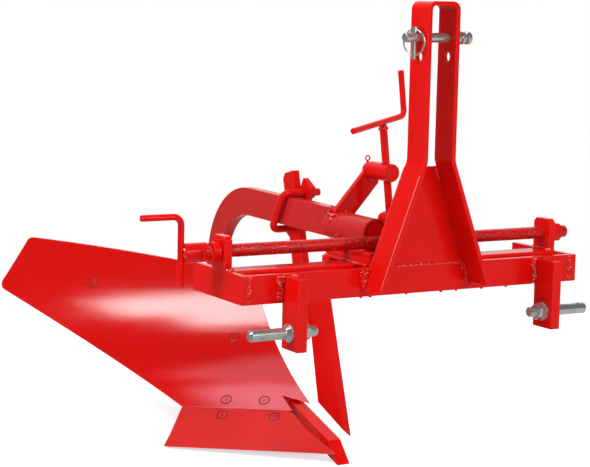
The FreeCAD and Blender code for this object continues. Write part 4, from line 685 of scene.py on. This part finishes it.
# ------------------------------------------------------------- welds and threads
@dataclass
class Bench:
    """Lays weld beads, thread ridges and drops of paint.

    Attributes:
        paints: the finishes.
        ripple: length of one ripple of a bead, in millimetres.
        sides: corners of a bead's section.
        end_size: size of a bead's first end, as a share of its width.
        turn_steps: steps in one turn of a thread.
    """

    paints: Paints
    ripple: float = 5.5
    sides: int = 8
    end_size: float = 0.55
    turn_steps: int = 16

    def run(self, start: Vector, end: Vector, radius: float) -> Piece:
        """One straight run of weld with its ripples.

        Args:
            start: where the run starts.
            end: where it ends.
            radius: half its width, in millimetres.

        Returns:
            The run.
        """
        along = end - start
        count = max(3, round(along.length / (self.ripple * MM)))
        step = along / count
        deselect_all()
        bpy.ops.mesh.primitive_circle_add(
            vertices=self.sides, radius=radius * MM * self.end_size, fill_type="NGON",
            location=start, rotation=along.to_track_quat("Z", "Y").to_euler())
        bead = open_mesh()
        size = self.end_size
        for index in range(count):
            for share, swell in ((0.4, 1.0), (0.6, 0.72 if index < count - 1 else 0.4)):
                target = swell * random.uniform(0.88, 1.1)
                bpy.ops.mesh.extrude_region_move(TRANSFORM_OT_translate={"value": step * share})
                bpy.ops.transform.resize(value=(target / size,) * 3)
                size = target
        bpy.ops.object.mode_set(mode="OBJECT")
        return bead

    def ring(self, centre: Vector, axis: Vector, ring: float, radius: float,
             start: Vector | None = None, sweep: float = 360.0, rough: float = 0.16) -> Piece:
        """A round run about an axis.

        About the y axis a positive sweep goes from the top to the furrow side, then down.

        Args:
            centre: the ring's middle.
            axis: its axis.
            ring: its radius, in millimetres.
            radius: half the run's width, in millimetres.
            start: direction from the middle to where the run starts.
            sweep: degrees it goes round.
            rough: how uneven it is, as a share of its radius.

        Returns:
            The run.
        """
        spoke = (start or axis.orthogonal()).normalized()
        tangent = axis.cross(spoke)
        deselect_all()
        bpy.ops.mesh.primitive_circle_add(
            vertices=self.sides, radius=radius * MM, fill_type="NOTHING",
            location=centre + spoke * ring * MM,
            rotation=tangent.to_track_quat("Z", "Y").to_euler())
        bead = open_mesh()
        steps = max(8, round(math.radians(sweep) * ring / (self.ripple * 0.7)))
        bpy.ops.mesh.spin(steps=steps, angle=math.radians(sweep), center=centre, axis=axis)
        bpy.ops.mesh.select_all(action="SELECT")
        bpy.ops.mesh.remove_doubles(threshold=0.01 * MM)
        bpy.ops.mesh.fill_holes(sides=self.sides)
        bpy.ops.mesh.select_all(action="SELECT")
        bpy.ops.transform.vertex_random(offset=radius * rough * MM, seed=5)
        bpy.ops.object.mode_set(mode="OBJECT")
        return bead

    def drop(self, place: Vector, size: Point, pull: float = 0.0) -> Piece:
        """A drop of paint or a bead of spatter.

        Args:
            place: its middle.
            size: its half sizes, in millimetres.
            pull: how far its lower end is drawn down, in millimetres.

        Returns:
            The drop.
        """
        deselect_all()
        bpy.ops.mesh.primitive_ico_sphere_add(subdivisions=2, radius=MM, location=place)
        drop = open_mesh()
        bpy.ops.transform.resize(value=size)
        bpy.ops.transform.vertex_random(offset=min(size) * 0.12 * MM, seed=3)
        bpy.ops.mesh.select_all(action="DESELECT")
        bpy.ops.object.mode_set(mode="OBJECT")
        if pull:
            for vertex in drop.data.vertices:
                vertex.select = vertex.co.z < place.z - 0.8 * size[2] * MM
            bpy.ops.object.mode_set(mode="EDIT")
            bpy.ops.transform.translate(value=(0.0, 0.0, -pull * MM))
            bpy.ops.object.mode_set(mode="OBJECT")
        return drop

    def weld(self, name: str, body: Body, runs: Sequence[tuple[Point, Point, float]],
             more: Sequence[Piece] = ()) -> Piece:
        """Straight runs, each with start, end and half width, and ready pieces as one weld."""
        parts = [self.run(at(*start), at(*end), radius) for start, end, radius in runs]
        return self.finish(name, body, [*parts, *more], self.paints.weld)

    def finish(self, name: str, body: Body, parts: Sequence[Piece],
               paint: Finish, slot: Slot = Slot.RED_PAINT) -> Piece:
        """Join pieces into one and finish it.

        Args:
            name: the piece's name.
            body: the body it rides on.
            parts: what it is made of.
            paint: its finish.
            slot: a material slot; not used.

        Returns:
            The finished piece.
        """
        deselect_all()
        for part in parts:
            part.select_set(True)
        bpy.context.view_layer.objects.active = parts[0]
        if len(parts) > 1:
            bpy.ops.object.join()
        return settle(bpy.context.view_layer.objects.active, name, body, paint)

    def thread(self, start: Vector, end: Vector, core: float, pitch: float,
               height: float) -> Piece:
        """The ridge of a screw thread.

        Args:
            start: where the thread starts, on its axis.
            end: where it ends.
            core: radius of the rod, in millimetres.
            pitch: millimetres from turn to turn.
            height: how far the ridge stands out, in millimetres.

        Returns:
            The ridge.
        """
        along = end - start
        deselect_all()
        bpy.ops.mesh.primitive_circle_add(
            vertices=4, radius=height * MM, fill_type="NOTHING", rotation=(math.pi / 2, 0.0, 0.0))
        ridge = open_mesh()
        bpy.ops.transform.translate(value=(core * MM, 0.0, 0.0))
        bpy.ops.object.mode_set(mode="OBJECT")
        turns = ridge.modifiers.new("turns", "SCREW")
        turns.axis = "Z"
        turns.screw_offset = pitch * MM
        turns.iterations = max(1, int(along.length / (pitch * MM)) - 1)
        turns.steps = turns.render_steps = self.turn_steps
        bpy.ops.object.modifier_apply(modifier=turns.name)
        ridge.location = start
        ridge.rotation_euler = along.to_track_quat("Z", "Y").to_euler()
        open_mesh()
        bpy.ops.mesh.fill_holes(sides=4)
        bpy.ops.object.mode_set(mode="OBJECT")
        return ridge


@dataclass
class Details:
    """What is added to one sub-assembly.

    Attributes:
        bench: lays the beads.
    """

    bench: Bench


@dataclass
class FrameDetails(Details):
    """Welds, paint drips, a painted highlight on the strap's edge and pin threads on the headstock
    frame, in millimetres.

    Attributes:
        lug_outer: from the middle to a lug's outer face.
        lug_inner: from the middle to a lug's inner face.
        end: from the middle to the seam of front bar and end plate.
        bar_depth: height of the bars.
        rear_bar: y of the seams before and behind the rear bar.
        bearing: from the middle to a screw bearing's inner and outer face.
        bearing_foot: y of the beads before and behind a bearing.
        foot: from the middle to a strap leg's outer foot.
        foot_depth: how far the legs reach below the bars' tops.
        highlight_line: ends of the pale line painted as the highlight on the strap's edge.
        drips: x of the drips at the front bar's lower edge.
        pin_tail: from the middle to the start and end of a lower pin's thread.
        pin_axis: y and z of the lower pins' axis.
    """

    lug_outer: float = 306.0
    lug_inner: float = 286.0
    end: float = 376.0
    bar_depth: float = 55.0
    rear_bar: Pair = (61.0, 116.0)
    bearing: Pair = (375.0, 391.0)
    bearing_foot: Pair = (71.0, 124.0)
    foot: float = 129.0
    foot_depth: float = 40.0
    highlight_line: tuple[Point, Point] = ((-45.0, -59.0, 182.0), (-127.0, -59.0, -36.0))
    drips: tuple[float, ...] = (-132.0, -110.0, -26.0, 55.0, 92.0, 155.0, 214.0, -232.0)
    pin_tail: Pair = (250.8, 266.5)
    pin_axis: Pair = (-30.0, -106.5)

    def spatter(self, side: int, near: float, reach: Sequence[Pair], size: Point,
                count: int) -> list[Piece]:
        """Beads of spatter in front of a weld.

        Args:
            side: -1 at the furrow side, 1 at the land side.
            near: x from which the beads lie outwards.
            reach: least and most distance outwards, forwards and downwards.
            size: half sizes of a bead.
            count: how many there are.

        Returns:
            The beads.
        """
        beads = []
        for _ in range(count):
            out, ahead, down = (random.uniform(*limits) for limits in reach)
            beads.append(self.bench.drop(at(near + side * out, -ahead, -down), size))
        return beads

    def lug_welds(self, side: int, name: str) -> None:
        """Beads down both sides of the hitch lug at one side, and spatter."""
        outer, inner, low = side * self.lug_outer, side * self.lug_inner, -self.bar_depth
        spatter = self.spatter(side, outer, ((2, 9), (5, 10), (3, 34)), (1.7, 1.5, 2.1), 14)
        self.bench.weld(f"lug_weld_{name}", Body.FRAME, (
            ((outer + side * 5, 3.0, -3.0), (outer + side * 4, 3.0, low + 4), 11.0),
            ((inner - side * 3, 1.0, -2.0), (inner - side * 3, 1.0, low + 1), 10.5),
            ((outer + side, 1.0, -1.0), (inner - side, 1.0, -1.0), 3.0),
        ), spatter)

    def corner_welds(self, side: int, name: str) -> None:
        """Seams between the bars and the end plate at one side."""
        x, low, (front, rear) = side * self.end, -self.bar_depth, self.rear_bar
        self.bench.weld(f"corner_weld_{name}", Body.FRAME, (
            ((x, 4.2, -1.5), (x, 4.2, low + 1.5), 8.2),
            ((x, front, low + 2), (x, front, -2.0), 4.0),
            ((x, rear, low + 2), (x, rear, -2.0), 4.0),
            ((x, front + 1, -1.2), (x, rear - 1, -1.2), 3.0),
        ))

    def bearing_welds(self, side: int, name: str) -> None:
        """Beads round the foot of the screw bearing at one side."""
        inner, outer = (side * x for x in self.bearing)
        front, rear = self.bearing_foot
        self.bench.weld(f"bearing_weld_{name}", Body.FRAME, (
            ((inner, front, 0.6), (outer - side, front, 0.6), 5.2),
            ((inner, rear, 0.6), (outer - side, rear, 0.6), 5.2),
            ((inner, front, 0.6), (inner, rear, 0.6), 5.0),
        ))

    def foot_welds(self, side: int, name: str) -> None:
        """Beads where the strap's leg at one side stands on the front bar, and spatter."""
        outer, top, low = side * self.foot, side * 117.5, -self.foot_depth
        inner, inner_top = side * 120.5, side * 108.5
        spatter = self.spatter(side, 0.0, ((128, 138), (3, 9), (2, 30)), (1.8, 1.6, 2.2), 9)
        self.bench.weld(f"leg_weld_{name}", Body.FRAME, (
            ((top, 0.0, 0.0), (outer + side, 0.0, low - 2), 7.6),
            ((inner_top - side * 3, 0.0, 1.0), (inner - side * 4, 0.0, low), 7.4),
            ((outer, -1.0, low - 1), (inner, -1.0, low - 1), 4.0),
        ), spatter)

    def gusset_welds(self) -> None:
        """Beads along the gusset's foot and up its edges."""
        self.bench.weld("gusset_weld", Body.FRAME, (
            ((-106.0, 0.6, 0.6), (106.0, 0.6, 0.6), 3.8),
            ((-106.0, 9.0, 0.8), (106.0, 9.0, 0.8), 3.6),
            ((-108.0, 4.0, 2.0), (-38.5, 4.0, 188.0), 3.4),
            ((108.0, 4.0, 2.0), (38.5, 4.0, 188.0), 3.4),
            ((32.0, 0.0, 190.0), (40.0, 0.0, 166.0), 5.5),
        ))

    def strap_edge(self) -> None:
        """A pale ridge painted as the highlight on the strap's front edge, down the leg at the
        furrow side.
        """
        top, foot = self.highlight_line
        ridge = self.bench.run(at(*top), at(*foot), 0.9)
        self.bench.finish("strap_edge_highlight", Body.FRAME, [ridge], self.bench.paints.edge)

    def paint_drips(self) -> None:
        """Paint that hangs from the front bar's lower edge."""
        drops = [
            self.bench.drop(
                at(x, 1.0 + index % 3, -self.bar_depth), (3.4 + index % 2, 1.6, 1.6), 1.2)
            for index, x in enumerate(self.drips)]
        self.bench.finish("paint_drips", Body.FRAME, drops, self.bench.paints.bar)

    def pin_threads(self) -> None:
        """Threads on the tails of the lower hitch pins."""
        for side, name in SIDES:
            start, end = (at(side * x, *self.pin_axis) for x in self.pin_tail)
            ridge = self.bench.thread(start, end, 10.0, 2.5, 0.35)
            self.bench.finish(
                f"pin_thread_{name}", Body.FRAME, [ridge], self.bench.paints.zinc_small, Slot.ZINC)

    def build(self) -> None:
        """Build every detail of the frame."""
        for side, name in SIDES:
            self.lug_welds(side, name)
            self.corner_welds(side, name)
            self.bearing_welds(side, name)
            self.foot_welds(side, name)
        self.gusset_welds()
        self.strap_edge()
        self.paint_drips()
        self.pin_threads()


@dataclass
class ScrewDetails(Details):
    """Threads and welds on the two adjusting screws.

    Attributes:
        axis: y and z of the lateral screw's axis, in millimetres from the datum.
        core: the lateral screw's radius, in millimetres.
        threads: name, start, end and pitch of its threads, in millimetres.
        crank: x of the seam where the crank meets its hub.
        roll_y: y of the roll screw's axis.
        roll_foot: x and z of a low point on that axis.
        roll_threads: start and end of its threads from the cross pin, in metres up the screw.
        handle: from the cross pin to the T-handle's weld, in metres.
    """

    axis: Pair = (97.5, 34.5)
    core: float = 12.5
    threads: tuple[tuple[str, float, float, float], ...] = (
        ("lateral_thread", -356.0, 374.0, 5.0), ("screw_tail_thread", 419.5, 437.0, 2.5))
    crank: float = -465.5
    roll_y: float = 180.0
    roll_foot: Pair = (48.0, 66.0)
    roll_threads: tuple[Pair, Pair] = ((-0.078, -0.021), (0.021, 0.072))
    handle: float = 0.0905

    def build(self) -> None:
        """Build the threads and the welds at crank and T-handle."""
        y, z = self.axis
        for name, start, end, pitch in self.threads:
            ridge = self.bench.thread(at(start, y, z), at(end, y, z), self.core, pitch, 0.4)
            self.bench.finish(name, Body.LATERAL_SCREW, [ridge], self.bench.paints.thread)
        seam = self.bench.ring(at(self.crank, y, z), ALONG_X, 10.5, 4.2, rough=0.3)
        x = self.crank + 3.0
        self.bench.weld("crank_weld", Body.LATERAL_SCREW, [
            ((x, y - 6.5, z + rise), (x, y + 6.5, z + rise), 3.6) for rise in (15.5, -15.5)
        ], [seam])
        pin = at(ROLL_PIN[0], self.roll_y, ROLL_PIN[1])
        up = (pin - at(self.roll_foot[0], self.roll_y, self.roll_foot[1])).normalized()
        ridges = [
            self.bench.thread(pin + up * low, pin + up * high, 8.0, 3.0, 0.35)
            for low, high in self.roll_threads]
        self.bench.finish("roll_thread", Body.ROLL_SCREW, ridges, self.bench.paints.small)
        head = self.bench.ring(pin + up * self.handle, up, 7.6, 3.6, rough=0.3)
        self.bench.finish("t_handle_weld", Body.ROLL_SCREW, [head], self.bench.paints.weld)


@dataclass
class CarriageDetails(Details):
    """Welds on the sliding carriage, in millimetres from the datum.

    Attributes:
        plate_top: z of the beads on the carriage plate.
        cheeks: y of the beads where the trunnion's cheeks meet the sleeve.
        sleeve_ring: radius of those beads.
    """

    plate_top: float = 14.0
    cheeks: Pair = (150.8, 209.4)
    sleeve_ring: float = 31.0

    def build(self) -> None:
        """Build the carriage's welds."""
        z = self.plate_top
        self.bench.weld("saddle_weld", Body.CARRIAGE, (
            ((-53.0, 119.0, z), (-53.0, 181.0, z), 4.0),
            ((-7.0, 119.0, z), (-7.0, 181.0, z), 4.0),
            ((-52.0, 117.0, z), (-8.0, 117.0, z), 3.4),
        ))
        self.bench.weld("nut_block_weld", Body.CARRIAGE, (
            ((3.0, 78.0, z), (3.0, 117.0, z), 4.0),
            ((49.0, 78.0, z), (49.0, 117.0, z), 3.4),
            ((4.0, 76.5, z), (48.0, 76.5, z), 3.8),
            ((4.0, 118.5, z), (48.0, 118.5, z), 3.8),
        ))
        self.bench.weld("flange_weld", Body.CARRIAGE, [
            ((x, 20.0, 1.5), (x, 180.0, 1.5), 3.6) for x in (-108.0, 52.0)])
        rings = [
            self.bench.ring(
                at(HUB[0], y, HUB[1]), ALONG_Y, self.sleeve_ring, 2.8, Vector((1.0, 0.0, 0.75)),
                -52.0)
            for y in self.cheeks]
        self.bench.finish("trunnion_weld", Body.CARRIAGE, rings, self.bench.paints.weld)


@dataclass
class BeamDetails(Details):
    """Welds, threads and the arm's plug on the rolling beam, in millimetres from the datum.

    Attributes:
        arm_faces: y of the beads before and behind the roll arm, at the collar.
        eye: y of the bead round the roll pin.
        joint: y of the seam of collar and beam.
        plug_place: middle of the filled hole in the arm.
        u_bolt_ends: y and z of the U-bolt's two ends.
    """

    arm_faces: Pair = (234.0, 243.0)
    eye: float = 234.0
    joint: float = 271.5
    plug_place: Point = (-0.9, 235.0, 98.9)
    u_bolt_ends: tuple[Pair, Pair] = ((448.0, 95.6), (494.0, 11.6))

    def arm_welds(self) -> None:
        """Beads round the roll arm's foot and eye, and at the beam's joint with the collar."""
        front, rear, eye = (
            self.bench.ring(at(x, y, z), ALONG_Y, ring, radius, Vector(start), sweep)
            for (x, z), y, ring, radius, start, sweep in (
                (HUB, self.arm_faces[0], 31.0, 2.8, (1.0, 0.0, 1.0), 88.0),
                (HUB, self.arm_faces[1], 30.4, 2.2, (-0.26, 0.0, 1.0), 68.0),
                (ROLL_PIN, self.eye, 19.0, 4.0, (-1.0, 0.0, 0.2), 110.0)))
        toe = self.bench.run(at(-51.5, 236.0, 71.0), at(-51.5, 262.0, 71.5), 5.5)
        heap = self.bench.run(at(-46.0, 250.0, 82.0), at(-40.0, 270.0, 84.0), 6.5)
        self.bench.finish(
            "roll_arm_weld", Body.BEAM, [front, rear, toe, heap, eye], self.bench.paints.weld)
        self.bench.weld("beam_joint_weld", Body.BEAM, (
            ((-43.5, self.joint, 24.0), (-43.5, self.joint, 82.0), 4.4),
            ((-16.5, self.joint, 24.0), (-16.5, self.joint, 82.0), 4.4),
            ((-43.0, self.joint - 1.5, 83.5), (-17.0, self.joint - 1.5, 83.5), 3.4),
        ))

    def plug(self) -> None:
        """Rim of the filled hole low on the roll arm."""
        rim = self.bench.ring(at(*self.plug_place), ALONG_Y, 4.6, 0.9, rough=0.05)
        self.bench.finish("roll_arm_plug", Body.BEAM, [rim], self.bench.paints.bar)

    def clamp_threads(self) -> None:
        """Threads on the ends of the coulter's U-bolt."""
        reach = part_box("coulter_u_bolt")[1].x
        ends = []
        for y, z in self.u_bolt_ends:
            tip = Vector((reach, *at(0.0, y, z)[1:]))
            ends.append(self.bench.thread(
                tip - Vector((0.0115, 0.0, 0.0)), tip - Vector((0.0005, 0.0, 0.0)), 8.0, 2.0, 0.35))
        self.bench.finish("u_bolt_threads", Body.BEAM, ends, self.bench.paints.small)

    def build(self) -> None:
        """Build every detail of the beam."""
        self.arm_welds()
        self.plug()
        self.clamp_threads()


@dataclass
class ShareDetails(Details):
    """Rims and sockets of the countersunk bolts on the plough body, as dark paint that stands in
    for the shade in them.

    Attributes:
        rim: radius of the groove round a countersunk head, in millimetres.
        socket: radius of the socket in a head.
        head_area: a head is wider than this, in square millimetres.
    """

    rim: float = 11.6
    socket: float = 4.4
    head_area: float = 250.0

    def heads(self) -> list[tuple[Vector, Vector]]:
        """Find the countersunk heads.

        Returns:
            For each head its middle and the direction it faces.
        """
        shape = bmesh.new()
        shape.from_mesh(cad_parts["plough_bolts"].data)
        bmesh.ops.remove_doubles(shape, verts=shape.verts, dist=0.001 * MM)
        bmesh.ops.dissolve_limit(
            shape, angle_limit=math.radians(0.5), verts=shape.verts, edges=shape.edges)
        least = self.head_area * MM * MM
        heads = [
            (sum((vertex.co for vertex in face.verts), Vector()) / len(face.verts),
             face.normal.copy())
            for face in shape.faces
            if face.calc_area() > least and face.normal.y < -0.2 and face.normal.x < 0.0]
        shape.free()
        return heads

    def build(self) -> None:
        """Build a dark ring painted as the shade in the groove round each head and in the socket in
        it.
        """
        rings = []
        # Each head gets a dark ring in its groove, a smaller one in its socket and a dark drop at
        # its middle, all painted shade.
        for middle, facing in self.heads():
            rings.append(self.bench.ring(middle, facing, self.rim, 1.15, rough=0.1))
            rings.append(self.bench.ring(middle, facing, self.socket, 0.6, rough=0.1))
            rings.append(self.bench.drop(middle, (1.2, 1.2, 1.2)))
        LOG.info("%d countersunk heads", len(rings) // 3)
        if rings:
            self.bench.finish("bolt_rims_painted_shade", Body.BEAM, rings, self.bench.paints.groove)


# ------------------------------------------------------------------------ studio
@dataclass(frozen=True)
class Lamp:
    """One soft rectangular lamp.

    Attributes:
        name: its name.
        azimuth: its turn from straight ahead of the plough towards the land side, in degrees.
        elevation: its height above the horizon, in degrees.
        distance: metres from what it points at.
        target: what it points at, in millimetres from the datum.
        size: width and height, in metres.
        power: watts.
        tint: its colour.
        seen_in_gloss: whether reflections show it.
        lights_matte: whether it lights surfaces other than by its reflection.
    """

    name: str
    azimuth: float
    elevation: float
    distance: float
    target: Point
    size: Pair
    power: float
    tint: Colour = WHITE
    seen_in_gloss: bool = True
    lights_matte: bool = True

    def build(self) -> None:
        """Add the lamp to the scene."""
        data = bpy.data.lights.new(self.name, "AREA")
        data.shape = "RECTANGLE"
        data.size, data.size_y = self.size
        data.energy = self.power
        data.color = self.tint
        lamp = bpy.data.objects.new(self.name, data)
        bpy.context.scene.collection.objects.link(lamp)
        turn, rise = math.radians(self.azimuth), math.radians(self.elevation)
        ahead = Vector((
            math.sin(turn) * math.cos(rise), -math.cos(turn) * math.cos(rise), math.sin(rise)))
        target = at(*self.target)
        place = target + ahead * self.distance
        lamp.location = place
        lamp.rotation_euler = (target - place).to_track_quat("-Z", "Y").to_euler()
        lamp.visible_glossy = self.seen_in_gloss
        lamp.visible_diffuse = self.lights_matte
        lamp.visible_camera = False


# What the lamps point at: the plough's middle and the mouldboard, in millimetres from the datum.
MIDDLE: Point = (0.0, 350.0, -100.0)
BOARD: Point = (-300.0, 620.0, -180.0)


@dataclass
class Studio:
    """Floor, lamps, surroundings and camera.

    Attributes:
        floor_size: side of the floor, in metres.
        floor_gap: how far it lies below the plough, in metres.
        world_fill: strength of the even light from all round.
        pale_towards: direction in which reflections find the surroundings pale.
        pale_from_to: how near to that direction they start to, and fully, turn pale, as cosines.
        pale_levels: how pale the surroundings are away from it and at it.
        lamps: a key, the strips and tops that give the mouldboard its sheen, small sparks, and
            a fill from the land side.
        camera_place: the camera's place from the datum, in millimetres.
        azimuth: the camera's turn about the vertical, in degrees.
        pitch: how far the camera looks down, in degrees.
        roll: the camera's turn about its own axis, in degrees.
        focal_mm: focal length on the sensor.
        sensor_mm: width of the sensor.
        shift: the lens's shift across and up, as shares of the sensor's width.
    """

    floor_size: float = 60.0
    floor_gap: float = 0.0005
    world_fill: float = 0.56
    pale_towards: Point = (0.50, 0.85, 0.05)
    pale_from_to: Pair = (0.36, 0.95)
    pale_levels: Pair = (0.04, 1.0)
    lamps: tuple[Lamp, ...] = (
        Lamp("key", 5, 23, 3.3, MIDDLE, (1.6, 1.6), 35.0),
        Lamp("strip", -70.8, 41.6, 2.6, BOARD, (0.86, 0.35), 23.5),
        Lamp("upper_strip", -67.3, 48.8, 2.6, BOARD, (0.66, 0.28), 14.5),
        Lamp("top", -147, 76.0, 2.6, BOARD, (0.65, 0.5), 6.2, (0.86, 0.80, 1.0)),
        Lamp("top_side", -97, 71.6, 2.7, BOARD, (0.65, 0.5), 2.7, (0.9, 0.86, 1.0)),
        Lamp("spark", -22, 24, 3.4, MIDDLE, (0.26, 0.26), 24.0, lights_matte=False),
        Lamp("land_fill", 80, 30, 3.4, MIDDLE, (2.0, 1.6), 34.0, seen_in_gloss=False),
    )
    camera_place: Point = (-1871.0, -2730.0, 493.0)
    azimuth: float = -30.07
    pitch: float = 7.74
    roll: float = 1.255
    focal_mm: float = 104.16
    sensor_mm: float = 36.0
    shift: Pair = (0.0068, 0.0103)

    def build_floor(self) -> None:
        """Lay the floor a hair below the plough."""
        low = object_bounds()[0]
        deselect_all()
        bpy.ops.mesh.primitive_plane_add(
            size=self.floor_size, location=(0.0, 0.0, low[2] - self.floor_gap))
        floor = bpy.context.object
        floor.name = "floor"
        floor.data.materials.append(PaleFloor().build())
        deselect_all()
        floor.select_set(True)
        bpy.ops.object.transform_apply(location=True, rotation=True, scale=True)
        floor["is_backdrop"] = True

    def build_world(self) -> None:
        """White surroundings: full white to the eye, an even level and a pale side elsewhere."""
        world = bpy.data.worlds.new("studio")
        bpy.context.scene.world = world
        bench = NodeBench(world, "ShaderNodeOutputWorld")
        path = bench.add("ShaderNodeLightPath").outputs
        eye, fill, mirror = (
            bench.add("ShaderNodeBackground", Color=(*WHITE, 1.0), Strength=strength)
            for strength in (1.0, self.world_fill, 1.0))
        place = bench.add("ShaderNodeTexCoord")
        dot = bench.add("ShaderNodeVectorMath", operation="DOT_PRODUCT")
        dot.inputs[1].default_value = Vector(self.pale_towards).normalized()
        bench.join(place.outputs["Generated"], dot.inputs[0])
        band = bench.range(
            dot.outputs["Value"], *self.pale_from_to, *self.pale_levels, smooth=True)
        bench.join(band, mirror.inputs["Strength"])
        gloss = bench.math("MAXIMUM", path["Is Glossy Ray"], path["Is Transmission Ray"])
        bounce = bench.blend(gloss, fill.outputs[0], mirror.outputs[0])
        shown = bench.blend(path["Is Camera Ray"], bounce, eye.outputs[0])
        bench.join(shown, bench.output.inputs["Surface"])

    def build_camera(self) -> None:
        """Set up the camera at the plough's front left."""
        data = bpy.data.cameras.new("camera")
        data.lens = self.focal_mm
        data.sensor_width = self.sensor_mm
        data.sensor_fit = "HORIZONTAL"
        data.shift_x, data.shift_y = self.shift
        data.clip_end = 200.0
        camera = bpy.data.objects.new("camera", data)
        bpy.context.scene.collection.objects.link(camera)
        camera.location = at(*self.camera_place)
        turn = Matrix.Rotation(math.radians(self.azimuth), 3, "Z")
        tilt = Matrix.Rotation(math.radians(90.0 - self.pitch), 3, "X")
        spin = Matrix.Rotation(math.radians(self.roll), 3, "Z")
        camera.rotation_euler = (turn @ tilt @ spin).to_euler()
        bpy.context.scene.camera = camera

    def build(self) -> None:
        """Build the whole studio."""
        self.build_camera()
        self.build_floor()
        self.build_world()
        for lamp in self.lamps:
            lamp.build()
        bpy.context.scene.view_settings.view_transform = "Standard"


def main() -> None:
    """Build the studio, dress the CAD nodes and add the pieces."""
    random.seed(7)
    Studio().build()
    paints = Paints()
    CadDress(paints).dress()
    bench = Bench(paints)
    for details in (FrameDetails, ScrewDetails, CarriageDetails, BeamDetails, ShareDetails):
        details(bench).build()
        LOG.info("%s done", details.__name__)


if __name__ == "__main__":
    main()
